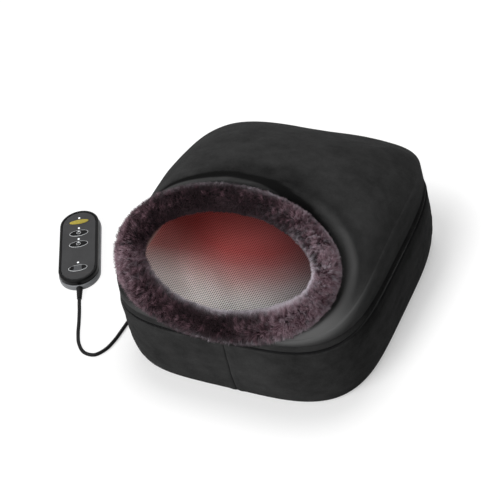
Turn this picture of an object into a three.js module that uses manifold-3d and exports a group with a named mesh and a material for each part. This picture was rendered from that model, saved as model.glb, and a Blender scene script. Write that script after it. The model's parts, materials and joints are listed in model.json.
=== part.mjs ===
// Heated foot massager: a flat-bottomed base cushion that holds a gear-driven kneading unit under a mesh
// panel, a zipped-on padded hood with a plush collar round its mouth, and a handset on a cord.
// Millimetres, +Z up, front towards -Y. The origin is the centre of the base cushion's flat underside.
import * as THREE from "three";
import { mergeVertices } from "three/addons/utils/BufferGeometryUtils.js";
import Module from "manifold-3d";

const wasm = await Module();
wasm.setup();

// Driving sizes of the base cushion
const bodyHalfWidth = 172;
const bodyHalfDepth = 189.5;
const seamHeight = 95;
const bottomTuck = 8.3;
const tuckHeight = 53;
const frontSquareness = 4.04;
const backSquareness = 4.34;
const taperShare = 0.04;
const frontSeamOffset = 12;

// Driving sizes of the hood
const hemHeight = 14;
const hemTuck = 4.2;
const hoodCrownHeight = 205;
const hoodBackHeight = 150;
const hoodFrontHeight = 120;
const crownRoundness = 2.65;

// Driving sizes of the collar round the mouth
const collarHalfWidth = 135.8;
const collarHalfDepth = 79.4;
const collarRadius = 18;
const collarSideShift = -2.8;
const collarFrontInset = 71.3;
const collarRise = 69;
const collarTilt = THREE.MathUtils.degToRad(37.4);

// Cloth, foam and clearances
const clearance = 0.3;
const collarClearance = 0.4;
const layerClearance = 0.5;
const overrun = 2;
const clothThickness = 3;
const bottomThickness = 3;
const paddingThickness = 4.7;
const liningThickness = 3;
const meshThickness = 2;
const foamPadThickness = 8;
const crownRise = 6;
const skirtShare = -0.8;
const slopeShare = 0.12;
const rowSpacingShare = 2.2;
const levelSpacingShare = 1.6;

// Zip
const zipRecess = 1.2;
const zipDepth = 3;
const zipTapeHeight = 1.4;
const sliderLength = 11;
const sliderHeight = 7;
const sliderThickness = 3.6;
const sliderRest = 62;
const pullLength = 26;
const pullWidth = 7;
const pullThickness = 1.2;
const pullPinRadius = 0.8;
const pullEar = 2.2;

// Kneading unit
const headAxisSetBack = 5;
const trayMargin = 7.3;
const trayFront = 74;
const trayBack = 112;
const trayWall = 2.5;
const trayTop = 46;
const coverThickness = 3;
const wormHeight = 26;
const wormModule = 1.6;
const wormStarts = 2;
const wormPitchRadius = 6;
const wormCoreRadius = 4.7;
const wormTipRadius = 7.3;
const wormThreadFoot = 3.8;
const wormLength = 24;
const wormThreadRoot = 2.5;
const wormThreadTip = 1.1;
const wheelTeeth = 24;
const wheelFace = 5;
const wheelTooth = 2.1;
const wheelAddendum = 1.2;
const wheelDedendum = 1.7;
const spurModule = 2;
const pinionTeeth = 9;
const headGearTeeth = 30;
const spurTooth = 2.5;
const spurAddendum = 1.5;
const spurDedendum = 2;
const wheelFlankShare = 0.3;
const spurFlankShare = 0.42;
const pinionBottom = 30.5;
const spurFace = 9;
const idlerPinRadius = 2;
const shaftRadius = 5;
const bossWall = 3;
const shaftFoot = 12;
const armBottom = 52;
const armThickness = 6;
const armHubRadius = 12;
const nodeOrbit = 33;
const nodesPerHead = 3;
const nodeRadius = 15;
const nodeTopDrop = 0.7;
const nodePinRadius = 3;
const nodePinHeight = 6;
const headRoom = 2.5;
// Radius and height of the node's profile, as shares of its own radius and height
const nodeProfileShares = [
  [0.8, 0],
  [1, 0.12],
  [1, 0.45],
  [0.86, 0.72],
  [0.5, 0.93],
  [0, 1],
];
const motorRadius = 17.5;
const motorLength = 56;
const motorStart = 19;
const motorShaftRadius = 1.6;
const wormBearingDepth = 4;
const wormBearingWidth = 14;
const wormBearingWall = 4;
const clampWidth = 14;
const clampWall = 4;
const cradleDepth = 6;
const screwHeadRadius = 3.4;
const screwHeadHeight = 2.2;
const screwShankRadius = 1.5;
const screwLength = 12;
const screwInset = 9;

// Boards, lamps and the ports at the back
const boardThickness = 1.6;
const controlBoardWidth = 62;
const controlBoardDepth = 44;
const controlBoardLift = 6;
const relaySize = 15;
const capacitorRadius = 4;
const lampBoardWidth = 20;
const lampBoardLength = 96;
const lampBoardLift = 18;
const lampRadius = 4;
const lampHeight = 7;
const lampPitch = 22;
const lampCount = 4;
const portWidth = 48;
const portCentre = 40;
const portBottom = 7;
const portHeight = 20;
const portProud = 0.8;
const inletOffset = 12;
const inletRadius = 5.2;
const inletFlangeRadius = 7;
const inletFlange = 1.5;
const inletDepth = 13;
const inletBoreRadius = 3.2;
const inletPinRadius = 1.05;
const glandOffset = -12;
const glandRadius = 4.4;
const glandFlangeRadius = 6;
const glandTipRadius = 3.2;
const glandLength = 22;
const glandRoot = 10;

// Handset
const handsetLength = 150;
const handsetWidth = 59;
const handsetGap = 149;
const handsetY = -11;
const handsetTurn = THREE.MathUtils.degToRad(28.5);
const handsetBackHeight = 10;
const handsetWall = 2;
const handsetFloor = 2;
const handsetEdge = 1.3;
const rimWidth = 4;
const rimLedge = 1.8;
const faceTop = 18;
const rimProud = 0.6;
const faceThickness = 2.5;
const boardSeat = 5;
const matThickness = 1.5;
const matDomeRadius = 4;
const matDomeGap = 1.1;
const buttonWidth = 25;
const buttonDepth = 10.4;
const powerButtonWidth = 28;
const powerButtonDepth = 8.4;
const buttonFlange = 1.4;
const buttonFlangeThickness = 1.5;
const buttonProud = 0.9;
const lightPinRadius = 1.5;
const lightBarOffset = 16.6;
const lightBarWidth = 1.8;
const lightBarThickness = 1.5;
const handsetScrewRadius = 1.2;
const handsetScrewHeadRadius = 2.6;
const handsetScrewHeadHeight = 1.6;
const handsetBossRadius = 4;
const faceBossRadius = 2.8;
const handsetScrewSetBack = 10.5;
const boardPostOffset = 15;
const bootLength = 20;
const bootRadius = 4.6;
const bootTipRadius = 3.5;
const bootHeight = 5.6;
const bootPlugRadius = 3;
const bootRibs = 5;
const bootRibDepth = 0.7;
const bootRibShare = 0.6;
// Places along the handset, as shares of its length from its middle towards its top
const buttonShares = {
  power_button: 0.33,
  program_button: 0.171,
  heat_button: 0.017,
  timer_button: -0.312,
};
const lightShares = [0.385, 0.24, 0.086, -0.238];

// Cord
const cordRadius = 2.5;
const cordBootRun = 10;
const cordBootDrop = 22;
const cordDropHeight = 4.2;
const cordLead = 14;
const cordShortLead = 5;
// Places of the loose stretch on the floor: how far out it lies from the base's side, as a share of the cord's
// radius, and how far back, as a share of the base's half depth
const cordRouteShares = [
  [33.2, -0.7071],
  [29.6, -0.8021],
  [25.2, -0.8918],
  [19.2, -0.9551],
  [12.8, -0.9551],
  [8.8, -0.8865],
  [7.2, -0.7916],
  [6.8, -0.686],
  [6.6, -0.5277],
  [6.4, -0.2111],
  [6.4, 0.1055],
  [6.4, 0.4222],
  [6.0, 0.686],
  [4.0, 0.8971],
  [-1.2, 1.0765],
  [-8.8, 1.2084],
];
const coilPitch = 5.7;
const coilInnerRadius = 21.2;
const coilTurns = 4 + 150 / 360;
const coilCentreGap = 41;
const coilLift = 1.4;
const tieWidth = 8;
const tieThickness = 1;
const coilStepsPerTurn = 24;
const coilSides = 6;
const cordSides = 8;
const cordStep = 15;

// Counts that set how fine the round shapes are
const aroundBody = 36;
const cornerCrowding = 0.13;
const aroundCollar = 32;
const collarSides = 8;
const hoodRows = 4;
const bandRows = 3;
const crownRows = 3;
const fine = 16;
const nodeSides = 10;
const wellSides = 24;
const tubSides = 20;
const coarse = 8;
const shapeSegments = 4;

const fullTurn = Math.PI * 2;
const quarterTurn = Math.PI / 2;
const weld = 1e-4;

// Solids from grids of points, joined and cut

// A closed mesh with its doubled points merged and its faces turned outwards.
function closed(positions, faces) {
  const loose = new THREE.BufferGeometry()
    .setAttribute("position", new THREE.Float32BufferAttribute(positions, 3))
    .setIndex(faces);
  const merged = mergeVertices(loose, weld);
  const index = merged.index.array;
  const kept = [];
  for (let i = 0; i < index.length; i += 3) {
    const [a, b, c] = [index[i], index[i + 1], index[i + 2]];
    if (a !== b && b !== c && c !== a) kept.push(a, b, c);
  }
  const corner = (i) => new THREE.Vector3().fromBufferAttribute(merged.attributes.position, i);
  let volume = 0;
  for (let i = 0; i < kept.length; i += 3)
    volume += corner(kept[i]).dot(corner(kept[i + 1]).cross(corner(kept[i + 2])));
  if (volume < 0)
    for (let i = 0; i < kept.length; i += 3)
      [kept[i + 1], kept[i + 2]] = [kept[i + 2], kept[i + 1]];
  merged.setIndex(kept);
  return merged;
}

// A thick sheet between two surfaces of the same grid: outer(u, v) and inner(u, v), with u and v from 0 to 1.
// With wraps, v runs all the way round and meets itself.
function sheet(outer, inner, rows, columns, wraps) {
  const across = wraps ? columns : columns + 1;
  const positions = [];
  const faces = [];
  for (const side of [outer, inner])
    for (let i = 0; i <= rows; i++)
      for (let j = 0; j < across; j++) positions.push(...side(i / rows, j / columns).toArray());
  const at = (side, i, j) => (side * (rows + 1) + i) * across + (wraps ? j % columns : j);
  const quad = (a, b, c, d) => faces.push(a, b, c, a, c, d);
  for (let j = 0; j < columns; j++) {
    for (let i = 0; i < rows; i++) {
      quad(at(0, i, j), at(0, i, j + 1), at(0, i + 1, j + 1), at(0, i + 1, j));
      quad(at(1, i, j), at(1, i + 1, j), at(1, i + 1, j + 1), at(1, i, j + 1));
    }
    quad(at(1, 0, j), at(1, 0, j + 1), at(0, 0, j + 1), at(0, 0, j));
    quad(at(0, rows, j), at(0, rows, j + 1), at(1, rows, j + 1), at(1, rows, j));
  }
  if (!wraps)
    for (let i = 0; i < rows; i++) {
      quad(at(0, i, 0), at(0, i + 1, 0), at(1, i + 1, 0), at(1, i, 0));
      quad(at(1, i, columns), at(1, i + 1, columns), at(0, i + 1, columns), at(0, i, columns));
    }
  return closed(positions, faces);
}

// A tube round a closed loop: point(u, v), with u round the loop and v round the section.
function ring(point, steps, sides) {
  const positions = [];
  const faces = [];
  for (let i = 0; i < steps; i++)
    for (let j = 0; j < sides; j++) positions.push(...point(i / steps, j / sides).toArray());
  const at = (i, j) => (i % steps) * sides + (j % sides);
  for (let i = 0; i < steps; i++)
    for (let j = 0; j < sides; j++)
      faces.push(at(i, j), at(i, j + 1), at(i + 1, j + 1), at(i, j), at(i + 1, j + 1), at(i + 1, j));
  return closed(positions, faces);
}

// An open tube with flat ends along a list of points that stay nearly level.
function levelTube(points, radius, sides) {
  const positions = [];
  const faces = [];
  points.forEach((here, i) => {
    const before = points[Math.max(i - 1, 0)];
    const after = points[Math.min(i + 1, points.length - 1)];
    const ahead = after.clone().sub(before).normalize();
    const aside = new THREE.Vector3(0, 0, 1).cross(ahead).normalize();
    const above = ahead.clone().cross(aside);
    for (let j = 0; j < sides; j++) {
      const turn = ((j + 0.5) / sides) * fullTurn;
      const spoke = aside.clone().multiplyScalar(Math.cos(turn) * radius);
      positions.push(...spoke.addScaledVector(above, Math.sin(turn) * radius).add(here).toArray());
    }
  });
  const at = (i, j) => i * sides + (j % sides);
  for (let i = 0; i < points.length - 1; i++)
    for (let j = 0; j < sides; j++)
      faces.push(at(i, j), at(i, j + 1), at(i + 1, j + 1), at(i, j), at(i + 1, j + 1), at(i + 1, j));
  const last = points.length - 1;
  for (let j = 1; j < sides - 1; j++) {
    faces.push(at(0, 0), at(0, j + 1), at(0, j));
    faces.push(at(last, 0), at(last, j), at(last, j + 1));
  }
  return closed(positions, faces);
}

function solidOf(geometry) {
  const bare = new THREE.BufferGeometry().setAttribute("position", geometry.getAttribute("position"));
  if (geometry.index) bare.setIndex(geometry.index);
  const merged = mergeVertices(bare, weld);
  const vertProperties = new Float32Array(merged.attributes.position.array);
  const triVerts = new Uint32Array(merged.index.array);
  return new wasm.Manifold(new wasm.Mesh({ numProp: 3, vertProperties, triVerts }));
}

function geometryOf(solid) {
  const { numProp, vertProperties, triVerts } = solid.getMesh();
  const positions = [];
  for (let i = 0; i < vertProperties.length; i += numProp)
    positions.push(vertProperties[i], vertProperties[i + 1], vertProperties[i + 2]);
  return new THREE.BufferGeometry()
    .setAttribute("position", new THREE.Float32BufferAttribute(positions, 3))
    .setIndex(Array.from(triVerts));
}

function join(...pieces) {
  return geometryOf(pieces.map(solidOf).reduce((whole, piece) => whole.add(piece)));
}

// The piece less its cutters, without the scrap that a cut leaves beside the main body.
function cut(piece, ...cutters) {
  const left = cutters.map(solidOf).reduce((whole, cutter) => whole.subtract(cutter), solidOf(piece));
  const bodies = left.decompose().sort((a, b) => b.volume() - a.volume());
  return geometryOf(bodies[0]);
}

function block(x0, x1, y0, y1, z0, z1) {
  return new THREE.BoxGeometry(x1 - x0, y1 - y0, z1 - z0).translate(
    (x0 + x1) / 2,
    (y0 + y1) / 2,
    (z0 + z1) / 2,
  );
}

// A round bar standing along Z
function post(radius, bottom, top, x = 0, y = 0, sides = fine) {
  return new THREE.CylinderGeometry(radius, radius, top - bottom, sides)
    .rotateX(quarterTurn)
    .translate(x, y, (bottom + top) / 2);
}

// A round bar lying along Y
function bar(radius, start, end, x = 0, z = 0, sides = fine) {
  return new THREE.CylinderGeometry(radius, radius, end - start, sides).translate(x, (start + end) / 2, z);
}

// A turned piece whose profile is a list of [radius, height] pairs, standing along Z
function turned(profile, sides = fine) {
  const points = profile.map(([radius, height]) => new THREE.Vector2(radius, height));
  return closedCopy(new THREE.LatheGeometry(points, sides).rotateX(quarterTurn));
}

function closedCopy(geometry) {
  return closed(Array.from(geometry.attributes.position.array), Array.from(geometry.index.array));
}

function plate(shape, bottom, top) {
  const depth = top - bottom;
  return new THREE.ExtrudeGeometry(
    shape,
    { depth, bevelEnabled: false, curveSegments: shapeSegments },
  ).translate(0, 0, bottom);
}

const root = new THREE.Group();
const finishes = {
  velour: { color: 0x37393a, roughness: 0.95, metalness: 0 },
  fur: { color: 0x4a383e, roughness: 1, metalness: 0 },
  lining: { color: 0x55454a, roughness: 1, metalness: 0 },
  mesh: { color: 0xb9aaa6, roughness: 0.9, metalness: 0 },
  foam: { color: 0xd8d2c4, roughness: 1, metalness: 0 },
  zip: { color: 0x141414, roughness: 0.6, metalness: 0 },
  housing: { color: 0x2a2c30, roughness: 0.6, metalness: 0 },
  gear: { color: 0xe9e4d6, roughness: 0.5, metalness: 0 },
  node: { color: 0x8c1f1c, roughness: 0.4, metalness: 0 },
  steel: { color: 0xb5b7ba, roughness: 0.35, metalness: 1 },
  board: { color: 0x2f5f3a, roughness: 0.6, metalness: 0 },
  shell: { color: 0x8b8d90, roughness: 0.5, metalness: 0 },
  rim: { color: 0x0c0c0d, roughness: 0.5, metalness: 0 },
  face: { color: 0x4c4c4e, roughness: 0.5, metalness: 0 },
  key: { color: 0x0f0f10, roughness: 0.45, metalness: 0 },
  yellowKey: { color: 0xc9b64a, roughness: 0.45, metalness: 0 },
  greyKey: { color: 0x606164, roughness: 0.45, metalness: 0 },
  light: { color: 0xffffff, roughness: 0.3, metalness: 0 },
  rubber: { color: 0x151516, roughness: 0.8, metalness: 0 },
};

function add(name, geometry, finish, parent = root) {
  const mesh = new THREE.Mesh(geometry, new THREE.MeshStandardMaterial(finishes[finish]));
  mesh.name = name;
  parent.add(mesh);
  return mesh;
}

// Shape of the body seen from above: a squared oval, a little narrower at the back

function squarenessAt(sine) {
  return THREE.MathUtils.lerp(frontSquareness, backSquareness, (sine + 1) / 2);
}

// The point at a share of a turn round the outline, moved in by inset and shrunk to share of its size. The
// points crowd together at the four corners.
function outline(turnShare, inset, z, share = 1) {
  const turn = turnShare * fullTurn + cornerCrowding * Math.sin(turnShare * fullTurn * 4);
  const cosine = Math.cos(turn);
  const sine = Math.sin(turn);
  const n = squarenessAt(sine);
  const reach = (Math.abs(cosine) ** n + Math.abs(sine) ** n) ** (-1 / n);
  const x = (bodyHalfWidth - inset) * share * reach * cosine * (1 - taperShare * reach * sine);
  return new THREE.Vector3(x, (bodyHalfDepth - inset) * share * reach * sine, z);
}

// How far in the base's wall stands at a height, from its rounded lower edge up
function tuckAt(z) {
  const low = 1 - Math.min(z / tuckHeight, 1);
  return bottomTuck * (1 - Math.sqrt(1 - low * low));
}

// A flat or crowned sheet that fills the outline, between two height functions of a point
function fill(edge, bottomAt, topAt, rows) {
  const on = (heightAt) => (u, v) => {
    const p = outline(v, edge, 0, u);
    return p.setZ(heightAt(p));
  };
  return sheet(on(topAt), on(bottomAt), rows, aroundBody, true);
}

// Share of the way from the middle to the body's outline at a point
function outwardShare(x, y) {
  const n = squarenessAt(Math.sin(Math.atan2(y / bodyHalfDepth, x / bodyHalfWidth)));
  const across = Math.abs(x / (bodyHalfWidth * (1 - (taperShare * y) / bodyHalfDepth)));
  return (across ** n + Math.abs(y / bodyHalfDepth) ** n) ** (1 / n);
}

// Collar: a padded tube bent to a tilted oval

const collarSetBack = bodyHalfDepth - collarFrontInset;
const collarHeight = seamHeight + collarRise;
const collarCentre = new THREE.Vector3(collarSideShift, -collarSetBack, collarHeight);
const collarNormal = new THREE.Vector3(0, -Math.sin(collarTilt), Math.cos(collarTilt));

function collarLine(turnShare) {
  const turn = turnShare * fullTurn;
  const rise = collarHalfDepth * Math.sin(turn);
  return new THREE.Vector3(
    collarHalfWidth * Math.cos(turn),
    rise * Math.cos(collarTilt),
    rise * Math.sin(collarTilt),
  ).add(
    collarCentre,
  );
}

function collarTube(radius) {
  return ring(
    (u, v) => {
      const turn = u * fullTurn;
      const out = new THREE.Vector3(
        collarHalfDepth * Math.cos(turn),
        collarHalfWidth * Math.sin(turn) * Math.cos(collarTilt),
        collarHalfWidth * Math.sin(turn) * Math.sin(collarTilt),
      ).normalize();
      const spin = v * fullTurn;
      return collarLine(u)
        .addScaledVector(out, radius * Math.cos(spin))
        .addScaledVector(collarNormal, radius * Math.sin(spin));
    },
    aroundCollar,
    collarSides,
  );
}

// Hood surface: a short hem that leans in, then a dome that rises to the collar's centre line

const hemTop = seamHeight + hemHeight;
const hemSlope = hemTuck / hemHeight;
const hemBottom = seamHeight + clearance + zipTapeHeight + clearance + clothThickness * hemSlope;

function domeHeight(x, y) {
  const along = y / bodyHalfDepth;
  const slope = (hoodBackHeight - hoodFrontHeight) / 2;
  const arch = (hoodBackHeight + hoodFrontHeight) / 2 - hoodCrownHeight;
  const peak = hoodCrownHeight + slope * along + arch * along * along;
  const share = Math.min(outwardShare(x, y), 1);
  return hemTop + (peak - hemTop) * (1 - share ** crownRoundness) ** (1 / crownRoundness);
}

// The hood's outer skin: along runs from -1 at the zip, through 0 at the hem's top, to 1 at the mouth
function hoodSkin(turnShare, along) {
  if (along <= 0) {
    const z = THREE.MathUtils.lerp(hemTop, hemBottom, -along);
    return outline(turnShare, hemSlope * (z - seamHeight), z);
  }
  const edge = outline(turnShare, hemTuck, 0);
  const mouth = collarLine(turnShare);
  const x = THREE.MathUtils.lerp(edge.x, mouth.x, along);
  const y = THREE.MathUtils.lerp(edge.y, mouth.y, along);
  const lift = mouth.z - domeHeight(mouth.x, mouth.y);
  return new THREE.Vector3(x, y, domeHeight(x, y) + lift * along ** 3);
}

// The same skin moved inwards by depth, square to its slope over a short way up and down
function hoodLayer(turnShare, along, depth) {
  const round = hoodSkin(turnShare + weld, along).sub(hoodSkin(turnShare - weld, along));
  const up = hoodSkin(turnShare, along + slopeShare).sub(hoodSkin(turnShare, along - slopeShare));
  const out = round.cross(up).normalize();
  return hoodSkin(turnShare, along).addScaledVector(out, -depth);
}

// A layer of the hood from the hem's top to the mouth, or from further down the hem where it has a skirt. All
// the layers have the same rows, closer together near the hem, so that their facets stay parallel.
function hoodSheet(depth, thickness, skirt) {
  const rows = skirt ? hoodRows + 1 : hoodRows;
  const along = (u) => {
    const row = Math.round(u * rows) - (rows - hoodRows);
    return row < 0 ? skirt : (row / hoodRows) ** rowSpacingShare;
  };
  return sheet(
    (u, v) => hoodLayer(v, along(u), depth),
    (u, v) => hoodLayer(v, along(u), depth + thickness),
    rows,
    aroundBody,
    true,
  );
}

const collarHole = collarTube(collarRadius + collarClearance);
add("fur_collar", collarTube(collarRadius), "fur");
add("hood_panel", cut(hoodSheet(0, clothThickness), collarHole), "velour");

// Gusset: the narrow wall between the zip and the panel
const gussetTop = 1 - layerClearance / hemHeight;
add(
  "hood_gusset",
  cut(
    sheet(
      (u, v) => hoodLayer(v, gussetTop * u - 1, 0),
      (u, v) => hoodLayer(v, gussetTop * u - 1, clothThickness),
      1,
      aroundBody,
      true,
    ),
    collarHole,
  ),
  "velour",
);
const paddingDepth = clothThickness + clearance;
const liningDepth = paddingDepth + paddingThickness + layerClearance;
add("hood_padding", cut(hoodSheet(paddingDepth, paddingThickness, skirtShare), collarHole), "foam");
add("hood_lining", cut(hoodSheet(liningDepth, liningThickness, skirtShare), collarHole), "lining");

// Zip: one tape on the base and one on the hood, with the slider on a straight stretch at the left

const zipSplit = seamHeight + clearance / 2;

function zipTape(bottom, top) {
  return sheet(
    (u, v) => outline(v, zipRecess, THREE.MathUtils.lerp(bottom, top, u)),
    (u, v) => outline(v, zipRecess + zipDepth, THREE.MathUtils.lerp(bottom, top, u)),
    1,
    aroundBody,
    true,
  );
}

add("zip_tape_upper", zipTape(zipSplit + clearance / 2, zipSplit + clearance / 2 + zipTapeHeight), "zip");
add("zip_tape_lower", zipTape(zipSplit - clearance / 2 - zipTapeHeight, zipSplit - clearance / 2), "zip");
const bandTop = zipSplit - clearance / 2 - zipTapeHeight - clearance;

// Base cushion: bottom cloth, two side bands with their seams at the front and back, foam and mesh

add(
  "bottom_cover",
  sheet(
    (u, v) => outline(v, tuckAt(bottomThickness), bottomThickness, u),
    (u, v) => outline(v, bottomTuck, 0, u),
    1,
    aroundBody,
    true,
  ),
  "rubber",
);

// Places of the gears, the kneading heads and the tray that holds them
const wheelPitchRadius = (wormModule * wheelTeeth) / 2;
const pinionRadius = (spurModule * pinionTeeth) / 2;
const headGearRadius = (spurModule * headGearTeeth) / 2;
const idlerX = wormPitchRadius + wheelPitchRadius;
const headX = idlerX + pinionRadius + headGearRadius;
const headY = -headAxisSetBack;
const headSweep = nodeOrbit + nodeRadius + headRoom;
const nodeSeat = armBottom + armThickness + clearance;
const nodeHeight = seamHeight - nodeTopDrop - nodeSeat;
const trayHalfWidth = headX + headSweep + trayMargin;
const trayY0 = -trayFront;
const trayY1 = trayBack;
const bandBottom = bottomThickness + clearance;
const trayBottom = bandBottom;
const portTop = portBottom + portHeight;
const portLeft = -portCentre - portWidth / 2;
const portRight = -portCentre + portWidth / 2;
const portHole = block(
  portLeft - clearance,
  portRight + clearance,
  trayBack,
  bodyHalfDepth + overrun,
  portBottom - clearance,
  portTop + clearance,
);

// Levels of the wall's rows, closer together at the rounded lower edge
const levelAt = (u) => bandBottom + (bandTop - bandBottom) * u ** levelSpacingShare;
const wall = sheet(
  (u, v) => outline(v, tuckAt(levelAt(u)), levelAt(u)),
  (u, v) => outline(v, tuckAt(levelAt(u)) + clothThickness, levelAt(u)),
  bandRows,
  aroundBody,
  true,
);

// One half of the band: the seam at the front stands off the middle, the one at the back is on it
function halfBand(side) {
  const far = bodyHalfWidth + overrun;
  const deep = bodyHalfDepth + overrun;
  const seam = (clearance / 2) * side;
  const keepOff = [
    block(side > 0 ? -far : seam, side > 0 ? seam : far, 0, deep, -overrun, seamHeight),
    block(
      side > 0 ? -far : frontSeamOffset + seam,
      side > 0 ? frontSeamOffset + seam : far,
      -deep,
      0,
      -overrun,
      seamHeight,
    ),
  ];
  return cut(wall, ...keepOff, ...(side < 0 ? [portHole] : []));
}

add("band_left", halfBand(-1), "velour");
add("band_right", halfBand(1), "velour");

const foamEdge = clothThickness + clearance;
const foamPadBottom = bandTop - foamPadThickness;
const foamLevelAt = (u) => Math.min(levelAt(u), foamPadBottom - clearance);
const foamBlock = sheet(
  (u, v) => outline(v, tuckAt(foamLevelAt(u)) + foamEdge, foamLevelAt(u)),
  (u) => new THREE.Vector3(0, 0, foamLevelAt(u)),
  bandRows,
  aroundBody,
  true,
);

const cavity = block(
  -trayHalfWidth - clearance,
  trayHalfWidth + clearance,
  trayY0 - clearance,
  trayY1 + clearance,
  0,
  seamHeight,
);
add("foam_surround", cut(foamBlock, cavity, portHole), "foam");

const crownAt = (p) => crownRise * (1 - Math.min(outwardShare(p.x, p.y), 1) ** 2) ** 2;
add(
  "foam_pad",
  cut(
    fill(foamEdge, () => foamPadBottom, (p) => bandTop + crownAt(p), crownRows),
    post(headSweep, 0, hemTop, headX, headY, wellSides),
    post(headSweep, 0, hemTop, -headX, headY, wellSides),
    block(
      -lampRadius - clearance,
      lampRadius + clearance,
      headY - lampBoardLength / 2,
      headY + lampBoardLength / 2,
      0,
      hemTop,
    ),
  ),
  "foam",
);
const meshEdge = zipRecess + zipDepth + clearance;
const meshUnder = bandTop + clearance;
add(
  "mesh_panel",
  fill(meshEdge, (p) => meshUnder + crownAt(p), (p) => meshUnder + meshThickness + crownAt(p), crownRows),
  "mesh",
);

// Kneading unit: tray, motor and worm, two idlers, two head gears and the kneading heads

const trayFloor = trayBottom + trayWall;
const pinionTop = pinionBottom + spurFace;
const bossTop = wormHeight - wheelFace / 2 - clearance;
const shaftBossTop = pinionBottom - clearance;
const coverBottom = trayTop + clearance;
const coverTop = coverBottom + coverThickness;
const screwPlaces = [
  [-1, trayY0 + screwInset],
  [1, trayY0 + screwInset],
  [-1, trayY1 - screwInset],
  [1, trayY1 - screwInset],
].map(([side, y]) => [side * (trayHalfWidth - screwInset), y]);
const motorEnd = motorStart + motorLength;
const cradleYs = [motorStart + clampWidth, motorEnd - clampWidth];
const cradleWidth = motorRadius + clampWall;
const boardX = trayHalfWidth - trayWall - controlBoardWidth / 2 - screwInset;
const boardY = trayY1 - trayWall - controlBoardDepth / 2 - screwInset * 2;
const standOffs = [-1, 1].flatMap((sx) =>
  [-1, 1].map((sy) => [
    boardX + sx * (controlBoardWidth / 2 - bossWall),
    boardY + sy * (controlBoardDepth / 2 - bossWall),
  ]),
);
const wormStart = headY - wormLength / 2;
const clampCut = bar(motorRadius + clearance, 0, trayY1 - trayWall, 0, wormHeight, 2 * coarse);

add(
  "chassis_tray",
  cut(
    join(
      cut(
        block(-trayHalfWidth, trayHalfWidth, trayY0, trayY1, trayBottom, trayTop),
        block(
          -trayHalfWidth + trayWall,
          trayHalfWidth - trayWall,
          trayY0 + trayWall,
          trayY1 - trayWall,
          trayFloor,
          trayTop + overrun,
        ),
      ),
      ...[-1, 1].map(
        (side) => post(idlerPinRadius + bossWall, trayBottom, bossTop, side * idlerX, headY, coarse),
      ),
      ...[-1, 1].map(
        (side) => post(shaftRadius + bossWall, trayBottom, shaftBossTop, side * headX, headY, coarse),
      ),
      ...screwPlaces.map(([x, y]) => post(screwShankRadius + bossWall, trayBottom, trayTop, x, y, coarse)),
      ...standOffs.map(([x, y]) => post(bossWall, trayBottom, trayFloor + controlBoardLift, x, y, coarse)),
      cut(
        block(
          -wormBearingWidth / 2,
          wormBearingWidth / 2,
          wormStart - clearance - wormBearingDepth,
          wormStart - clearance,
          trayBottom,
          wormHeight + motorShaftRadius + wormBearingWall,
        ),
        bar(motorShaftRadius + clearance, trayY0, wormStart, 0, wormHeight, coarse),
      ),
      ...cradleYs.map((y) =>
        cut(
          block(
            -cradleWidth,
            cradleWidth,
            y - cradleDepth / 2,
            y + cradleDepth / 2,
            trayBottom,
            wormHeight - clearance,
          ),
          clampCut,
        ),
      ),
    ),
    ...[-1, 1].map(
      (side) => post(idlerPinRadius + clearance, trayFloor, wormHeight, side * idlerX, headY, coarse),
    ),
    ...[-1, 1].map((side) => post(shaftRadius + clearance, shaftFoot, armBottom, side * headX, headY)),
    ...screwPlaces.map(
      ([x, y]) => post(
        screwShankRadius + clearance,
        trayTop - screwLength,
        trayTop + overrun,
        x,
        y,
        coarse,
      ),
    ),
  ),
  "housing",
);

add(
  "gearbox_cover",
  cut(
    join(
      block(-trayHalfWidth, trayHalfWidth, trayY0, trayY1, coverBottom, coverTop),
      ...[-1, 1].map(
        (side) => post(
          shaftRadius + bossWall,
          pinionTop + clearance,
          coverTop,
          side * headX,
          headY,
          coarse,
        ),
      ),
      ...[-1, 1].map((side) =>
        post(idlerPinRadius + bossWall, pinionTop + clearance, coverTop, side * idlerX, headY, coarse),
      ),
    ),
    ...[-1, 1].map((side) => post(shaftRadius + clearance, 0, armBottom, side * headX, headY)),
    ...[-1, 1].map(
      (side) => post(idlerPinRadius + clearance, 0, coverBottom, side * idlerX, headY, coarse),
    ),
    ...screwPlaces.map(([x, y]) => post(screwShankRadius + clearance, 0, armBottom, x, y, coarse)),
  ),
  "housing",
);

screwPlaces.forEach(([x, y], i) => {
  const seat = coverTop + clearance;
  add(
    `cover_screw_${i + 1}`,
    turned(
      [
        [0, seat - screwLength],
        [screwShankRadius, seat - screwLength],
        [screwShankRadius, seat],
        [screwHeadRadius, seat],
        [screwHeadRadius, seat + screwHeadHeight / 2],
        [screwHeadRadius / 2, seat + screwHeadHeight],
        [0, seat + screwHeadHeight],
      ],
      coarse,
    ).translate(x, y, 0),
    "steel",
  );
});

// A gear's outline: straight-sided teeth that are thinner at the tip than at the root
function gearShape(teeth, pitchRadius, tooth, addendum, dedendum, firstTooth, flank) {
  const shape = new THREE.Shape();
  const half = (width, radius) => width / 2 / radius;
  const tipRadius = pitchRadius + addendum;
  const rootRadius = pitchRadius - dedendum;
  const tipHalf = half(tooth - 2 * addendum * flank, tipRadius);
  const rootHalf = half(tooth + 2 * dedendum * flank, rootRadius);
  for (let i = 0; i < teeth; i++) {
    const middle = firstTooth + (i / teeth) * fullTurn;
    for (const [radius, offset] of [
      [rootRadius, -rootHalf],
      [tipRadius, -tipHalf],
      [tipRadius, tipHalf],
      [rootRadius, rootHalf],
    ]) {
      const x = radius * Math.cos(middle + offset);
      const y = radius * Math.sin(middle + offset);
      if (shape.curves.length || shape.currentPoint.lengthSq()) shape.lineTo(x, y);
      else shape.moveTo(x, y);
    }
  }
  return shape;
}

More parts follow.
